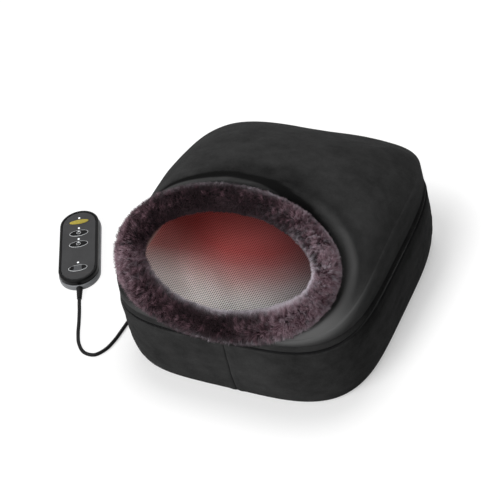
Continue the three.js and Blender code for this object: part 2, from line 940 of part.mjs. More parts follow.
// The worm's thread slants, so the wheel's teeth slant with it
function slanted(geometry, rate, level) {
  const position = geometry.attributes.position;
  for (let i = 0; i < position.count; i++) {
    const p = new THREE.Vector3().fromBufferAttribute(position, i);
    p.applyAxisAngle(new THREE.Vector3(0, 0, 1), rate * (p.z - level));
    position.setXYZ(i, p.x, p.y, p.z);
  }
  return geometry;
}

const wormLead = Math.PI * wormModule * wormStarts;
const slantRate = wormLead / (fullTurn * wormPitchRadius) / wheelPitchRadius;
const wheelHalfPitch = fullTurn / wheelTeeth / 2;
const headHalfPitch = fullTurn / headGearTeeth / 2;
const wheelBottom = wormHeight - wheelFace / 2;
const wheelTop = wormHeight + wheelFace / 2;

function idlerGear(side) {
  const wheel = plate(
    gearShape(
      wheelTeeth,
      wheelPitchRadius,
      wheelTooth,
      wheelAddendum,
      wheelDedendum,
      wheelHalfPitch,
      wheelFlankShare,
    ),
    wheelBottom,
    wheelTop,
  );
  const pinion = plate(
    gearShape(
      pinionTeeth,
      pinionRadius,
      spurTooth,
      spurAddendum,
      spurDedendum,
      side > 0 ? 0 : Math.PI,
      spurFlankShare,
    ),
    wheelTop - clearance,
    pinionTop,
  );
  return cut(
    join(slanted(wheel, slantRate, wormHeight), pinion),
    post(idlerPinRadius + clearance, 0, seamHeight),
  );
}

function headGear() {
  const gear = plate(
    gearShape(
      headGearTeeth,
      headGearRadius,
      spurTooth,
      spurAddendum,
      spurDedendum,
      headHalfPitch,
      spurFlankShare,
    ),
    pinionBottom,
    pinionTop,
  );
  return join(gear, post(shaftRadius, shaftFoot + clearance, armBottom + armThickness));
}

// A carrier with one round pad and pin for each kneading node
function headArm() {
  const pads = [];
  for (let i = 0; i < nodesPerHead; i++) {
    const turn = (i / nodesPerHead) * fullTurn;
    const spoke = block(
      0,
      nodeOrbit,
      -armHubRadius / 2,
      armHubRadius / 2,
      armBottom,
      armBottom + armThickness,
    );
    pads.push(spoke.rotateZ(turn));
    const [x, y] = [nodeOrbit * Math.cos(turn), nodeOrbit * Math.sin(turn)];
    pads.push(post(armHubRadius, armBottom, armBottom + armThickness, x, y, coarse));
    pads.push(post(nodePinRadius, armBottom, armBottom + armThickness + nodePinHeight, x, y, coarse));
  }
  const hub = post(armHubRadius, armBottom, armBottom + armThickness, 0, 0, coarse);
  return cut(join(hub, ...pads), post(shaftRadius + clearance, 0, seamHeight));
}

// A kneading node: a blunt dome with a socket underneath for the carrier's pin
function kneadingNode() {
  const socket = nodePinHeight + clearance;
  return turned([
    [nodePinRadius + clearance, 0],
    ...nodeProfileShares.map(([radius, height]) => [nodeRadius * radius, nodeHeight * height]),
    [0, socket],
    [nodePinRadius + clearance, socket],
    [nodePinRadius + clearance, 0],
  ], nodeSides);
}

for (const [side, word] of [
  [-1, "left"],
  [1, "right"],
]) {
  add(`idler_gear_${word}`, idlerGear(side), "gear").position.set(side * idlerX, headY, 0);
  add(
    `idler_pin_${word}`,
    post(idlerPinRadius, trayFloor + clearance, coverBottom - clearance, 0, 0, coarse),
    "steel",
  ).position.set(side * idlerX, headY, 0);
  add(`head_gear_${word}`, headGear(), "gear").position.set(side * headX, headY, 0);
  add(`head_arm_${word}`, headArm(), "housing").position.set(side * headX, headY, 0);
  for (let i = 0; i < nodesPerHead; i++) {
    const turn = (i / nodesPerHead) * fullTurn;
    add(`kneading_node_${word}_${i + 1}`, kneadingNode(), "node").position.set(
      side * headX + nodeOrbit * Math.cos(turn),
      headY + nodeOrbit * Math.sin(turn),
      nodeSeat,
    );
  }
}

// Worm: a core with two threads wound round it, on the motor's shaft
function wormGear() {
  const turns = (wormLength - wormThreadRoot) / wormLead;
  const threads = [];
  for (let k = 0; k < wormStarts; k++) {
    const positions = [];
    const faces = [];
    const steps = Math.round(turns * coarse);
    // a thread stands at the level of the heads' axes on both sides of the worm
    const middleAngle = quarterTurn + (k / wormStarts) * fullTurn;
    for (let i = 0; i <= steps; i++) {
      const travel = (i / steps - 0.5) * turns;
      const angle = middleAngle + travel * fullTurn;
      for (const [radius, offset] of [
        [wormThreadFoot, -wormThreadRoot / 2],
        [wormTipRadius, -wormThreadTip / 2],
        [wormTipRadius, wormThreadTip / 2],
        [wormThreadFoot, wormThreadRoot / 2],
      ])
        positions.push(
          radius * Math.sin(angle),
          headY + travel * wormLead + offset,
          wormHeight + radius * Math.cos(angle),
        );
    }
    const at = (i, j) => i * 4 + (j % 4);
    for (let i = 0; i < steps; i++)
      for (let j = 0; j < 4; j++)
        faces.push(at(i, j), at(i, j + 1), at(i + 1, j + 1), at(i, j), at(i + 1, j + 1), at(i + 1, j));
    faces.push(at(0, 0), at(0, 2), at(0, 1), at(0, 0), at(0, 3), at(0, 2));
    faces.push(at(steps, 0), at(steps, 1), at(steps, 2), at(steps, 0), at(steps, 2), at(steps, 3));
    threads.push(closed(positions, faces));
  }
  const core = bar(wormCoreRadius, wormStart, wormStart + wormLength, 0, wormHeight, coarse);
  const neck = bar(
    motorShaftRadius,
    wormStart - wormBearingDepth,
    motorStart - clearance,
    0,
    wormHeight,
    coarse,
  );
  return join(core, neck, ...threads);
}

add("motor_worm", wormGear(), "steel");
add("motor", bar(motorRadius, motorStart, motorEnd, 0, wormHeight, 2 * coarse), "steel");
const clampTop = Math.min(wormHeight + motorRadius + clampWall / 2, trayTop);
add(
  "motor_clamp",
  cut(
    block(
      -cradleWidth,
      cradleWidth,
      cradleYs[0] - clampWidth / 2,
      cradleYs[0] + clampWidth / 2,
      wormHeight,
      clampTop,
    ),
    clampCut,
  ),
  "housing",
);

// Boards and lamps
const boardBottom = trayFloor + controlBoardLift + clearance;
const boardTop = boardBottom + boardThickness;
add(
  "control_board",
  join(
    block(
      boardX - controlBoardWidth / 2,
      boardX + controlBoardWidth / 2,
      boardY - controlBoardDepth / 2,
      boardY + controlBoardDepth / 2,
      boardBottom,
      boardTop,
    ),
    block(
      boardX - relaySize / 2,
      boardX + relaySize / 2,
      boardY - relaySize / 2,
      boardY + relaySize / 2,
      boardBottom,
      boardTop + relaySize,
    ),
    post(
      capacitorRadius,
      boardBottom,
      boardTop + relaySize,
      boardX + relaySize + capacitorRadius,
      boardY,
      coarse,
    ),
  ),
  "board",
);
const lampBoardBottom = coverTop + lampBoardLift;
add(
  "lamp_board",
  join(
    block(
      -lampBoardWidth / 2,
      lampBoardWidth / 2,
      headY - lampBoardLength / 2,
      headY + lampBoardLength / 2,
      lampBoardBottom,
      lampBoardBottom + boardThickness,
    ),
    ...[-1, 1].map((side) =>
      post(
        bossWall,
        coverTop + clearance,
        lampBoardBottom + boardThickness,
        0,
        headY + side * (lampBoardLength / 2 - bossWall),
        coarse,
      ),
    ),
    ...Array.from({ length: lampCount }, (_, i) =>
      post(
        lampRadius,
        lampBoardBottom,
        lampBoardBottom + boardThickness + lampHeight,
        0,
        headY + (i - (lampCount - 1) / 2) * lampPitch,
        coarse,
      ),
    ),
  ),
  "board",
);

// Port at the back: a block between the tray and the band that holds the power inlet and the cord's gland
const portFace = bodyHalfDepth + portProud;
const portHeightMiddle = portBottom + portHeight / 2;
const inletX = -portCentre + inletOffset;
const glandX = -portCentre + glandOffset;
add(
  "rear_port",
  cut(
    block(portLeft, portRight, trayY1 + clearance, portFace, portBottom, portTop),
    bar(
      inletRadius + clearance,
      portFace - inletDepth - clearance,
      portFace + overrun,
      inletX,
      portHeightMiddle,
    ),
    bar(
      glandRadius + clearance,
      portFace - glandRoot - clearance,
      portFace + overrun,
      glandX,
      portHeightMiddle,
    ),
  ),
  "housing",
);
add(
  "power_inlet",
  turned([
    [0, 0],
    [inletRadius, 0],
    [inletRadius, inletDepth + clearance],
    [inletFlangeRadius, inletDepth + clearance],
    [inletFlangeRadius, inletDepth + clearance + inletFlange],
    [inletBoreRadius, inletDepth + clearance + inletFlange],
    [inletBoreRadius, inletFlange],
    [inletPinRadius, inletFlange],
    [inletPinRadius, inletDepth],
    [0, inletDepth],
  ])
    .rotateX(-quarterTurn)
    .translate(inletX, portFace - inletDepth, portHeightMiddle),
  "rim",
);
add(
  "cord_gland",
  turned([
    [0, 0],
    [glandRadius, 0],
    [glandRadius, glandRoot + clearance],
    [glandFlangeRadius, glandRoot + clearance],
    [glandFlangeRadius, glandRoot + clearance + glandTipRadius],
    [glandRadius, glandRoot + clearance + glandTipRadius],
    [glandTipRadius, glandRoot + glandLength],
    [0, glandRoot + glandLength],
  ], coarse)
    .rotateX(-quarterTurn)
    .translate(glandX, portFace - glandRoot, portHeightMiddle),
  "rubber",
);

// Zip slider and its pull, on the straight stretch of the left side
const slideSlope = (taperShare * bodyHalfWidth) / bodyHalfDepth;
const zipSide = new THREE.Group();
zipSide.position.set(-bodyHalfWidth + slideSlope * sliderRest, sliderRest, zipSplit);
zipSide.rotation.z = -Math.atan(slideSlope);
root.add(zipSide);
const sliderBack = -clearance;
const sliderFront = sliderBack - sliderThickness;
const lugReach = pullPinRadius * 2;
const pinX = sliderFront - lugReach;
const pinZ = sliderHeight / 2 - lugReach;
const lugHalf = pullWidth / 2 - pullEar - clearance;
add(
  "zip_slider",
  join(
    block(
      sliderFront,
      sliderBack,
      -sliderLength / 2,
      sliderLength / 2,
      -sliderHeight / 2,
      sliderHeight / 2,
    ),
    cut(
      block(pinX - lugReach, sliderFront + clearance, -lugHalf, lugHalf, pinZ - lugReach, pinZ + lugReach),
      bar(pullPinRadius + clearance, -pullWidth, pullWidth, pinX, pinZ, coarse),
    ),
  ),
  "zip",
  zipSide,
);
const slotDepth = Math.hypot(lugReach, lugReach) + clearance;
add(
  "zip_pull",
  join(
    cut(
      block(
        pinX - pullThickness / 2,
        pinX + pullThickness / 2,
        -pullWidth / 2,
        pullWidth / 2,
        pinZ + pullPinRadius + clearance - pullLength,
        pinZ + pullPinRadius + clearance,
      ),
      block(
        pinX - overrun,
        pinX + overrun,
        -lugHalf - clearance,
        lugHalf + clearance,
        pinZ - slotDepth,
        pinZ + slotDepth,
      ),
    ),
    bar(pullPinRadius, -pullWidth / 2, pullWidth / 2, pinX, pinZ, coarse),
  ),
  "zip",
  zipSide,
);

// Handset, lying on its back to the left of the base, with its cord end towards the front

const handset = new THREE.Group();
handset.position.set(-bodyHalfWidth - handsetGap, handsetY, 0);
handset.rotation.z = handsetTurn;
root.add(handset);

// A long shape with round ends, less in from the handset's outline
function stadium(inset, holes = []) {
  const radius = handsetWidth / 2 - inset;
  const reach = handsetLength / 2 - handsetWidth / 2;
  const shape = new THREE.Shape();
  shape.absarc(0, reach, radius, 0, Math.PI, false);
  shape.absarc(0, -reach, radius, Math.PI, fullTurn, false);
  shape.closePath();
  shape.holes = holes;
  return shape;
}

function oval(width, depth, y) {
  return new THREE.Shape().absellipse(0, y, width / 2, depth / 2, 0, fullTurn, false);
}

// A point on the handset's outline, moved in by inset
function stadiumPoint(turnShare, inset, z) {
  const turn = turnShare * fullTurn;
  const reach = handsetLength / 2 - handsetWidth / 2;
  const radius = handsetWidth / 2 - inset;
  return new THREE.Vector3(
    radius * Math.cos(turn),
    radius * Math.sin(turn) + (Math.sin(turn) >= 0 ? reach : -reach),
    z,
  );
}

const faceInset = handsetEdge + rimWidth;
const ledgeInset = faceInset + rimLedge;
const rimBottom = handsetBackHeight + clearance;
const faceBottom = faceTop - faceThickness;
const handsetScrewYs = [-1, 1].map((end) => end * (handsetLength / 2 - handsetScrewSetBack));
const spineAt = (turnShare, z) => new THREE.Vector3(0, stadiumPoint(turnShare, handsetWidth / 2, 0).y, z);
const tubLevels = [0, handsetFloor, handsetBackHeight];
const tubRows = tubLevels.length - 1;
const tubZ = (u) => tubLevels[Math.round(u * tubRows)];
const tub = sheet(
  (u, v) => stadiumPoint(v, Math.max(handsetFloor - tubZ(u), 0), tubZ(u)),
  (u, v) => spineAt(v, tubZ(u)),
  tubRows,
  tubSides,
  true,
);
const bootRootY = -handsetLength / 2 - clearance;
const bootHoleEnd = bootRootY + handsetWall + handsetEdge + overrun;
const bootHole = bar(bootPlugRadius + clearance, bootRootY - overrun, bootHoleEnd, 0, bootHeight, coarse);
add(
  "handset_back_shell",
  cut(
    join(
      cut(tub, plate(stadium(handsetWall + handsetEdge), handsetFloor, handsetBackHeight + overrun)),
      ...handsetScrewYs.map((y) => post(handsetBossRadius, 0, boardSeat, 0, y, coarse)),
      ...[-1, 1].map((side) => post(handsetWall, 0, boardSeat, side * boardPostOffset, 0, coarse)),
    ),
    bootHole,
    ...handsetScrewYs.map(
      (y) => post(handsetScrewRadius + clearance, -overrun, handsetBackHeight, 0, y, coarse),
    ),
    ...handsetScrewYs.map((y) =>
      post(
        handsetScrewHeadRadius + clearance,
        -overrun,
        handsetScrewHeadHeight + clearance * 2,
        0,
        y,
        coarse,
      ),
    ),
  ),
  "shell",
  handset,
);
add(
  "handset_rim",
  cut(
    plate(stadium(handsetEdge), rimBottom, faceTop + rimProud),
    plate(stadium(faceInset), faceBottom - clearance, faceTop + overrun),
    plate(stadium(ledgeInset), 0, faceTop),
  ),
  "rim",
  handset,
);

const buttonKinds = [
  ["power_button", powerButtonWidth, powerButtonDepth, "yellowKey"],
  ["program_button", buttonWidth, buttonDepth, "key"],
  ["heat_button", buttonWidth, buttonDepth, "key"],
  ["timer_button", buttonWidth, buttonDepth, "greyKey"],
].map(
  ([name, width, depth, finish]) => ({ name, width, depth, finish, y: buttonShares[name] * handsetLength }),
);
const lightYs = lightShares.map((share) => share * handsetLength);
const faceBossFoot = boardSeat + clearance;
add(
  "handset_face",
  cut(
    join(
      plate(stadium(faceInset + clearance), faceBottom, faceTop),
      ...handsetScrewYs.map(
        (y) => post(faceBossRadius, faceBossFoot, faceBottom + clearance, 0, y, coarse),
      ),
    ),
    ...buttonKinds.map(({ width, depth, y }) =>
      plate(oval(width + clearance * 2, depth + clearance * 2, y), 0, faceTop + overrun),
    ),
    ...lightYs.map((y) => post(lightPinRadius + clearance, 0, faceTop + overrun, 0, y, coarse)),
    ...handsetScrewYs.map((y) => post(handsetScrewRadius + clearance, 0, faceBottom, 0, y, coarse)),
  ),
  "face",
  handset,
);

const flangeTop = faceBottom - clearance;
const flangeBottom = flangeTop - buttonFlangeThickness;
for (const { name, width, depth, finish, y } of buttonKinds)
  add(
    name,
    join(
      plate(oval(width, depth, y), flangeBottom, faceTop + buttonProud),
      plate(oval(width + buttonFlange * 2, depth + buttonFlange * 2, y), flangeBottom, flangeTop),
    ),
    finish,
    handset,
  );

const bossHoles = handsetScrewYs.map((y) => post(faceBossRadius + clearance, 0, faceTop, 0, y, coarse));
const circuitBottom = boardSeat + clearance;
add(
  "handset_board",
  cut(plate(stadium(ledgeInset + clearance), circuitBottom, circuitBottom + boardThickness), ...bossHoles),
  "board",
  handset,
);
const matBottom = circuitBottom + boardThickness + clearance;
add(
  "key_mat",
  cut(
    join(
      plate(stadium(ledgeInset + clearance), matBottom, matBottom + matThickness),
      ...buttonKinds.map(
        ({ y }) => post(matDomeRadius, matBottom, flangeBottom - matDomeGap, 0, y, coarse),
      ),
    ),
    ...bossHoles,
  ),
  "rubber",
  handset,
);
const lightBarTop = flangeBottom - clearance;
const lightBarBottom = lightBarTop - lightBarThickness;
add(
  "light_guide",
  join(
    block(
      lightBarOffset - lightBarWidth / 2,
      lightBarOffset + lightBarWidth / 2,
      Math.min(...lightYs) - lightBarWidth / 2,
      Math.max(...lightYs) + lightBarWidth / 2,
      lightBarBottom,
      lightBarTop,
    ),
    ...lightYs.flatMap((y) => [
      block(0, lightBarOffset, y - lightBarWidth / 2, y + lightBarWidth / 2, lightBarBottom, lightBarTop),
      post(lightPinRadius, lightBarBottom, faceTop + clearance, 0, y, coarse),
    ]),
  ),
  "light",
  handset,
);
handsetScrewYs.forEach((y, i) => {
  const seat = handsetScrewHeadHeight + clearance;
  add(
    `handset_screw_${i + 1}`,
    turned(
      [
        [0, clearance],
        [handsetScrewHeadRadius, clearance],
        [handsetScrewHeadRadius, seat],
        [handsetScrewRadius, seat],
        [handsetScrewRadius, faceBottom - overrun],
        [0, faceBottom - overrun],
      ],
      coarse,
    ).translate(0, y, 0),
    "steel",
    handset,
  );
});

// Strain relief at the handset: a plug in the shell's wall and a ribbed taper outside it
function bootProfile() {
  const profile = [
    [0, -handsetWall],
    [bootPlugRadius, -handsetWall],
    [bootPlugRadius, clearance],
  ];
  for (let i = 0; i < bootRibs; i++) {
    const low = i / bootRibs;
    const high = (i + bootRibShare) / bootRibs;
    const radius = THREE.MathUtils.lerp(bootRadius, bootTipRadius, low);
    profile.push([radius, clearance + low * bootLength], [radius, clearance + high * bootLength]);
    const groove = radius - bootRibDepth;
    profile.push([groove, clearance + high * bootLength]);
    if (i < bootRibs - 1) profile.push([groove, clearance + ((i + 1) / bootRibs) * bootLength]);
  }
  profile.push([bootTipRadius - bootRibDepth, clearance + bootLength], [0, clearance + bootLength]);
  return profile;
}

const boot = add("handset_boot", turned(bootProfile(), coarse).rotateX(quarterTurn), "rubber", handset);
boot.position.set(0, -handsetLength / 2, bootHeight);

// Cord: a loose stretch from the handset along the left side, a coil behind the base, and a tail to the gland

root.updateMatrixWorld(true);
const onHandset = (y) => handset.localToWorld(
  new THREE.Vector3(0, -handsetLength / 2 - clearance - bootLength - y, bootHeight),
);
const glandTip = new THREE.Vector3(glandX, portFace + glandLength + clearance, portHeightMiddle);
const coilHalfAngle = coilTurns * Math.PI;
const coilRadiusAt = (a) => coilInnerRadius + (coilPitch * Math.abs(a)) / fullTurn;
const coilOuterRadius = coilRadiusAt(coilHalfAngle);
const coilCentre = new THREE.Vector3(
  glandX - coilOuterRadius,
  glandTip.y + coilCentreGap,
  coilLift + cordRadius,
);

// The coil spirals in on the floor, climbs a layer in the half turn where it turns back, and spirals out
function coilPoint(a) {
  const radius = coilRadiusAt(a);
  const angle = coilHalfAngle - a;
  const rise = THREE.MathUtils.smoothstep(a, -quarterTurn, quarterTurn) * coilPitch;
  return new THREE.Vector3(radius * Math.cos(angle), radius * Math.sin(angle), rise).add(coilCentre);
}

function coilLine() {
  const steps = Math.round(coilTurns * coilStepsPerTurn);
  const points = [];
  for (let i = 0; i <= steps; i++) points.push(coilPoint(-coilHalfAngle + (i / steps) * 2 * coilHalfAngle));
  return points;
}

// The least gap between parts of the coil that are not next to each other
function leastGap(points) {
  let least = Infinity;
  const apart = coilStepsPerTurn / 2;
  points.forEach((here, i) => {
    for (const there of points.slice(i + apart)) least = Math.min(least, here.distanceTo(there));
  });
  return least - cordRadius * 2;
}

const wound = coilLine();
const heading = (angle) => new THREE.Vector3(Math.sin(angle), -Math.cos(angle), 0);
const startHeading = heading(coilHalfAngle * 2);
const endHeading = heading(0);
wound.unshift(wound[0].clone().addScaledVector(startHeading, -cordRadius * 2));
wound.push(wound[wound.length - 1].clone().addScaledVector(endHeading, cordRadius * 2));
console.log(`coil self gap ${leastGap(wound).toFixed(2)} mm`);
add("handset_cord_coil", levelTube(wound, cordRadius, coilSides), "rubber");

function cord(name, points) {
  const circle = new THREE.Shape().absarc(0, 0, cordRadius, 0, fullTurn, false);
  const extrudePath = new THREE.CatmullRomCurve3(points, false, "centripetal");
  const steps = Math.round(extrudePath.getLength() / cordStep) + 2;
  const tube = new THREE.ExtrudeGeometry(
    circle,
    { steps, extrudePath, bevelEnabled: false, curveSegments: cordSides / 2 },
  );
  console.log(`${name} ${extrudePath.getLength().toFixed(0)} mm`);
  add(name, tube, "rubber");
}

const coilStart = wound[0].clone().addScaledVector(startHeading, -clearance);
const coilEnd = wound[wound.length - 1].clone().addScaledVector(endHeading, clearance);
const onFloor = (x, y) => new THREE.Vector3(x, y, cordRadius);
cord(
  "handset_cord_loose",
  [
    onHandset(clearance),
    onHandset(cordBootRun),
    onHandset(cordBootDrop).setZ(cordDropHeight),
    ...cordRouteShares.map(
      ([out, back]) => onFloor(-bodyHalfWidth - out * cordRadius, back * bodyHalfDepth),
    ),
    coilStart.clone().addScaledVector(startHeading, -cordLead),
    coilStart.clone().addScaledVector(startHeading, -cordShortLead),
    coilStart,
  ],
);
cord(
  "handset_cord_tail",
  [
    coilEnd,
    coilEnd.clone().addScaledVector(endHeading, cordShortLead),
    coilEnd.clone().add(glandTip).divideScalar(2),
    glandTip.clone().add(new THREE.Vector3(0, cordShortLead, 0)),
    glandTip,
  ],
);

// Tie round the coil's bundle, at the side away from the base
const tieInner = coilInnerRadius - cordRadius - collarClearance;
const tieOuter = coilOuterRadius + cordRadius + collarClearance;
const tieTop = coilLift + coilPitch + cordRadius * 2 + collarClearance;
add(
  "coil_tie",
  cut(
    block(
      coilCentre.x - tieWidth / 2,
      coilCentre.x + tieWidth / 2,
      coilCentre.y + tieInner - tieThickness,
      coilCentre.y + tieOuter + tieThickness,
      0,
      tieTop + tieThickness,
    ),
    block(
      coilCentre.x - tieWidth,
      coilCentre.x + tieWidth,
      coilCentre.y + tieInner,
      coilCentre.y + tieOuter,
      tieThickness,
      tieTop,
    ),
  ),
  "rubber",
);

root.name = "foot_massager";
export default root;
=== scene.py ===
"""Heated foot massager: a base cushion with a kneading unit under a mesh panel, a zipped padded hood with a
plush collar round its mouth, and a handset on a cord. Shapes are worked out in millimetres and put into the
meshes in metres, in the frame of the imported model: +Z up, front towards -Y."""
import json

import bpy
import numpy as np
from mathutils import Matrix

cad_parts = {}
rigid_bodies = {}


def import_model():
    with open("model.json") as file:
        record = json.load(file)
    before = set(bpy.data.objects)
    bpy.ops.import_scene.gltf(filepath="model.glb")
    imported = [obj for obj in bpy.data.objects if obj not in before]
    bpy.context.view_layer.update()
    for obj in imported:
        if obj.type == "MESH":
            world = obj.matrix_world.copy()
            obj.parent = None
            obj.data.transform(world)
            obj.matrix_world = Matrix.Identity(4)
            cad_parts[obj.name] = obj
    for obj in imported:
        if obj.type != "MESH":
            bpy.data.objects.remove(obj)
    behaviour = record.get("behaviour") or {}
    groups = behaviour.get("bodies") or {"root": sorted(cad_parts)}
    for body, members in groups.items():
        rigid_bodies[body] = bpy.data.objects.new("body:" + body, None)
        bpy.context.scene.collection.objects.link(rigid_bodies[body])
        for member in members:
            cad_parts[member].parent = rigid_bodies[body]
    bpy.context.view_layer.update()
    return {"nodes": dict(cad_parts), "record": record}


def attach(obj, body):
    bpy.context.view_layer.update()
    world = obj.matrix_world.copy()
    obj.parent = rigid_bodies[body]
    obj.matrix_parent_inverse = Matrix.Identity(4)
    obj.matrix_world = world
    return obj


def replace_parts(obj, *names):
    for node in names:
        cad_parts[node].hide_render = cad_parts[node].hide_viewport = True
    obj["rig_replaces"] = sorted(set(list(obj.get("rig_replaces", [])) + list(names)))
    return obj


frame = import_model()
MM = 0.001
TURN = 2 * np.pi
scene = bpy.context.scene
scene.view_settings.view_transform = "Standard"
node_of = frame["nodes"]


# Camera

def spherical_axes(azimuth, elevation, roll):
    """Right, up and back of a camera that stands at azimuth from -Y and at elevation, rolled about its view."""
    a, e, r = np.radians([azimuth, elevation, roll])
    back = np.array([np.sin(a) * np.cos(e), -np.cos(a) * np.cos(e), np.sin(e)])
    right = np.array([np.cos(a), np.sin(a), 0])
    up = np.cross(back, right)
    return np.cos(r) * right + np.sin(r) * up, np.cos(r) * up - np.sin(r) * right, back


def place_camera(place, axes, lens):
    """A camera at a place in millimetres, whose axes are right, up and back."""
    camera = bpy.data.objects.new("camera", bpy.data.cameras.new("camera"))
    scene.collection.objects.link(camera)
    camera.matrix_world = Matrix.Translation(np.array(place) * MM) @ Matrix(np.array(axes).T).to_4x4()
    camera.data.lens = lens
    camera.data.sensor_width = 36
    camera.data.clip_start, camera.data.clip_end = 0.05, 50
    scene.camera = camera


place_camera(
    place=(940.9, -1419.3, 1621.54),
    axes=spherical_axes(azimuth=34.81, elevation=42.01, roll=-13.92),
    lens=126.51,
)


# Meshes from arrays of points

def make_mesh(name, points, faces, smooth=True):
    """An object whose mesh has the points, an array of millimetres, and the faces, a list of index arrays,
    turned outwards where the volume that they enclose comes out negative."""
    points = np.asarray(points, dtype=np.float64).reshape(-1, 3) * MM
    centred = points - points.mean(0)
    volume = 0.0
    for face in faces:
        for k in range(1, face.shape[1] - 1):
            a, b, c = (centred[face[:, i]] for i in (0, k, k + 1))
            volume += np.einsum("ij,ij->", a, np.cross(b, c))
    if volume < 0:
        faces = [face[:, ::-1] for face in faces]
    loops = np.concatenate([face.ravel() for face in faces]).astype(np.int32)
    sizes = np.concatenate([np.full(len(face), face.shape[1]) for face in faces])
    starts = np.concatenate([[0], np.cumsum(sizes)[:-1]]).astype(np.int32)
    mesh = bpy.data.meshes.new(name)
    mesh.vertices.add(len(points))
    mesh.loops.add(len(loops))
    mesh.polygons.add(len(sizes))
    mesh.vertices.foreach_set("co", points.astype(np.float32).ravel())
    mesh.loops.foreach_set("vertex_index", loops)
    mesh.polygons.foreach_set("loop_start", starts)
    mesh.polygons.foreach_set("use_smooth", np.full(len(sizes), smooth))
    mesh.update(calc_edges=True)
    made = bpy.data.objects.new(name, mesh)
    scene.collection.objects.link(made)
    return made


def quads(rows, columns, start=0):
    """Quads of a grid of points numbered row by row from start, whose last column meets the first."""
    i, j = np.meshgrid(np.arange(rows - 1), np.arange(columns), indexing="ij")
    a, b = i * columns + j, i * columns + (j + 1) % columns
    return np.stack([a, b, b + columns, a + columns], -1).reshape(-1, 4) + start


def between(a, b):
    """Quads between two closed lines of point numbers."""
    a, b = np.append(a, a[0]), np.append(b, b[0])
    return np.stack([a[:-1], a[1:], b[1:], b[:-1]], -1)


def shell(name, outer, inner):
    """A closed sheet between an outer and an inner grid of points whose columns wrap, joined at their edges."""
    rows, columns = outer.shape[:2]
    count = rows * columns
    out, ins = np.arange(2 * count).reshape(2, rows, columns)
    faces = [quads(rows, columns), quads(rows, columns, count)[:, ::-1]]
    faces += [between(ins[0], out[0]), between(out[-1], ins[-1])]
    return make_mesh(name, np.concatenate([outer.reshape(-1, 3), inner.reshape(-1, 3)]), faces)


def stack(name, rings):
    """A closed solid whose rings of points run from its bottom to its top, each end closed to its middle."""
    rows, columns = rings.shape[:2]
    poles = [rings[0].mean(0), rings[-1].mean(0)]
    first, last = np.arange(columns), np.arange(columns) + (rows - 1) * columns
    low, high = np.full(columns, rows * columns), np.full(columns, rows * columns + 1)
    faces = [
        quads(rows, columns),
        np.stack([np.roll(first, -1), first, low], -1),
        np.stack([last, np.roll(last, -1), high], -1),
    ]
    return make_mesh(name, np.concatenate([rings.reshape(-1, 3), poles]), faces)


def carried(name, sections, closed_path):
    """A closed profile carried along a path: sections holds one ring of points for each place on the path."""
    rows, columns = sections.shape[:2]
    grid = np.arange(rows * columns).reshape(rows, columns)
    faces = [quads(rows, columns)]
    if closed_path:
        faces.append(between(grid[-1], grid[0]))
    else:
        faces += [grid[:1, ::-1], grid[-1:]]
    return make_mesh(name, sections, faces)


def ease(x, low, high):
    """0 below low and 1 above high, with a smooth rise between."""
    s = np.clip((x - low) / (high - low), 0, 1)
    return s * s * (3 - 2 * s)


def hump(x, middle, width):
    """A bell of height 1 round middle."""
    return np.exp(-(((x - middle) / width) ** 2))


def unit(vectors):
    """The vectors, each brought to a length of 1."""
    return vectors / np.linalg.norm(vectors, axis=-1, keepdims=True)


def ripple(points, wavelength, seed):
    """Smooth random height at each point: a sum of nine sine waves in random directions, about -1 to 1."""
    waves = 9
    rng = np.random.default_rng(seed)
    way = rng.normal(size=(waves, 3))
    way *= (TURN / wavelength) * rng.uniform(0.6, 1.5, (waves, 1)) / np.linalg.norm(way, axis=1, keepdims=True)
    return np.sin(points @ way.T + rng.uniform(0, TURN, waves)).sum(-1) / np.sqrt(waves)


def normals_of(grid):
    """Unit normals of a grid whose columns wrap: across the columns crossed with up the rows."""
    across = np.roll(grid, -1, 1) - np.roll(grid, 1, 1)
    return unit(np.cross(across, np.gradient(grid, axis=0)))


# Shape of the body seen from above

HALF_WIDTH, HALF_DEPTH, SEAM = 172.0, 189.5, 95.0


def squareness(s):
    """Power n of the squared oval, 4.04 at the front to 4.34 at the back, where s is the sine of the turn."""
    return 4.04 + 0.30 * (s + 1) / 2


def outline(share, inset=0.0, z=0.0, size=1.0):
    """Squared oval: reach = (|cos|^n + |sin|^n)^(-1/n), where n is its squareness, and the width shrinks by 4%
    towards the back. share is the share of a turn, inset moves it in and size scales it."""
    share, inset, z, size = np.broadcast_arrays(share, inset, z, size)
    turn = share * TURN + 0.13 * np.sin(share * TURN * 4)
    c, s = np.cos(turn), np.sin(turn)
    n = squareness(s)
    reach = (np.abs(c) ** n + np.abs(s) ** n) ** (-1 / n)
    x = (HALF_WIDTH - inset) * size * reach * c * (1 - 0.04 * reach * s)
    return np.stack([x, (HALF_DEPTH - inset) * size * reach * s, z + 0 * x], -1)


fine_share = np.linspace(0, 1, 4001)
fine_line = outline(fine_share)
fine_length = np.append(0, np.cumsum(np.linalg.norm(np.diff(fine_line, axis=0), axis=1)))
ROUND = fine_length[-1]


def even_shares(count):
    """Shares of a turn at even steps along the whole outline."""
    return np.interp(np.linspace(0, ROUND, count, endpoint=False), fine_length, fine_share)


def share_where(x, front):
    """Share of a turn where the outline's front or back crosses x."""
    part = (fine_share > 0.5) == front
    order = np.argsort(fine_line[part, 0])
    return np.interp(x, fine_line[part, 0][order], fine_share[part][order])


def tuck(z):
    """How far in the wall stands near the floor: 8.3 mm at the floor and none from 53 mm up."""
    low = 1 - np.minimum(z / 53, 1)
    return 8.3 * (1 - np.sqrt(1 - low * low))


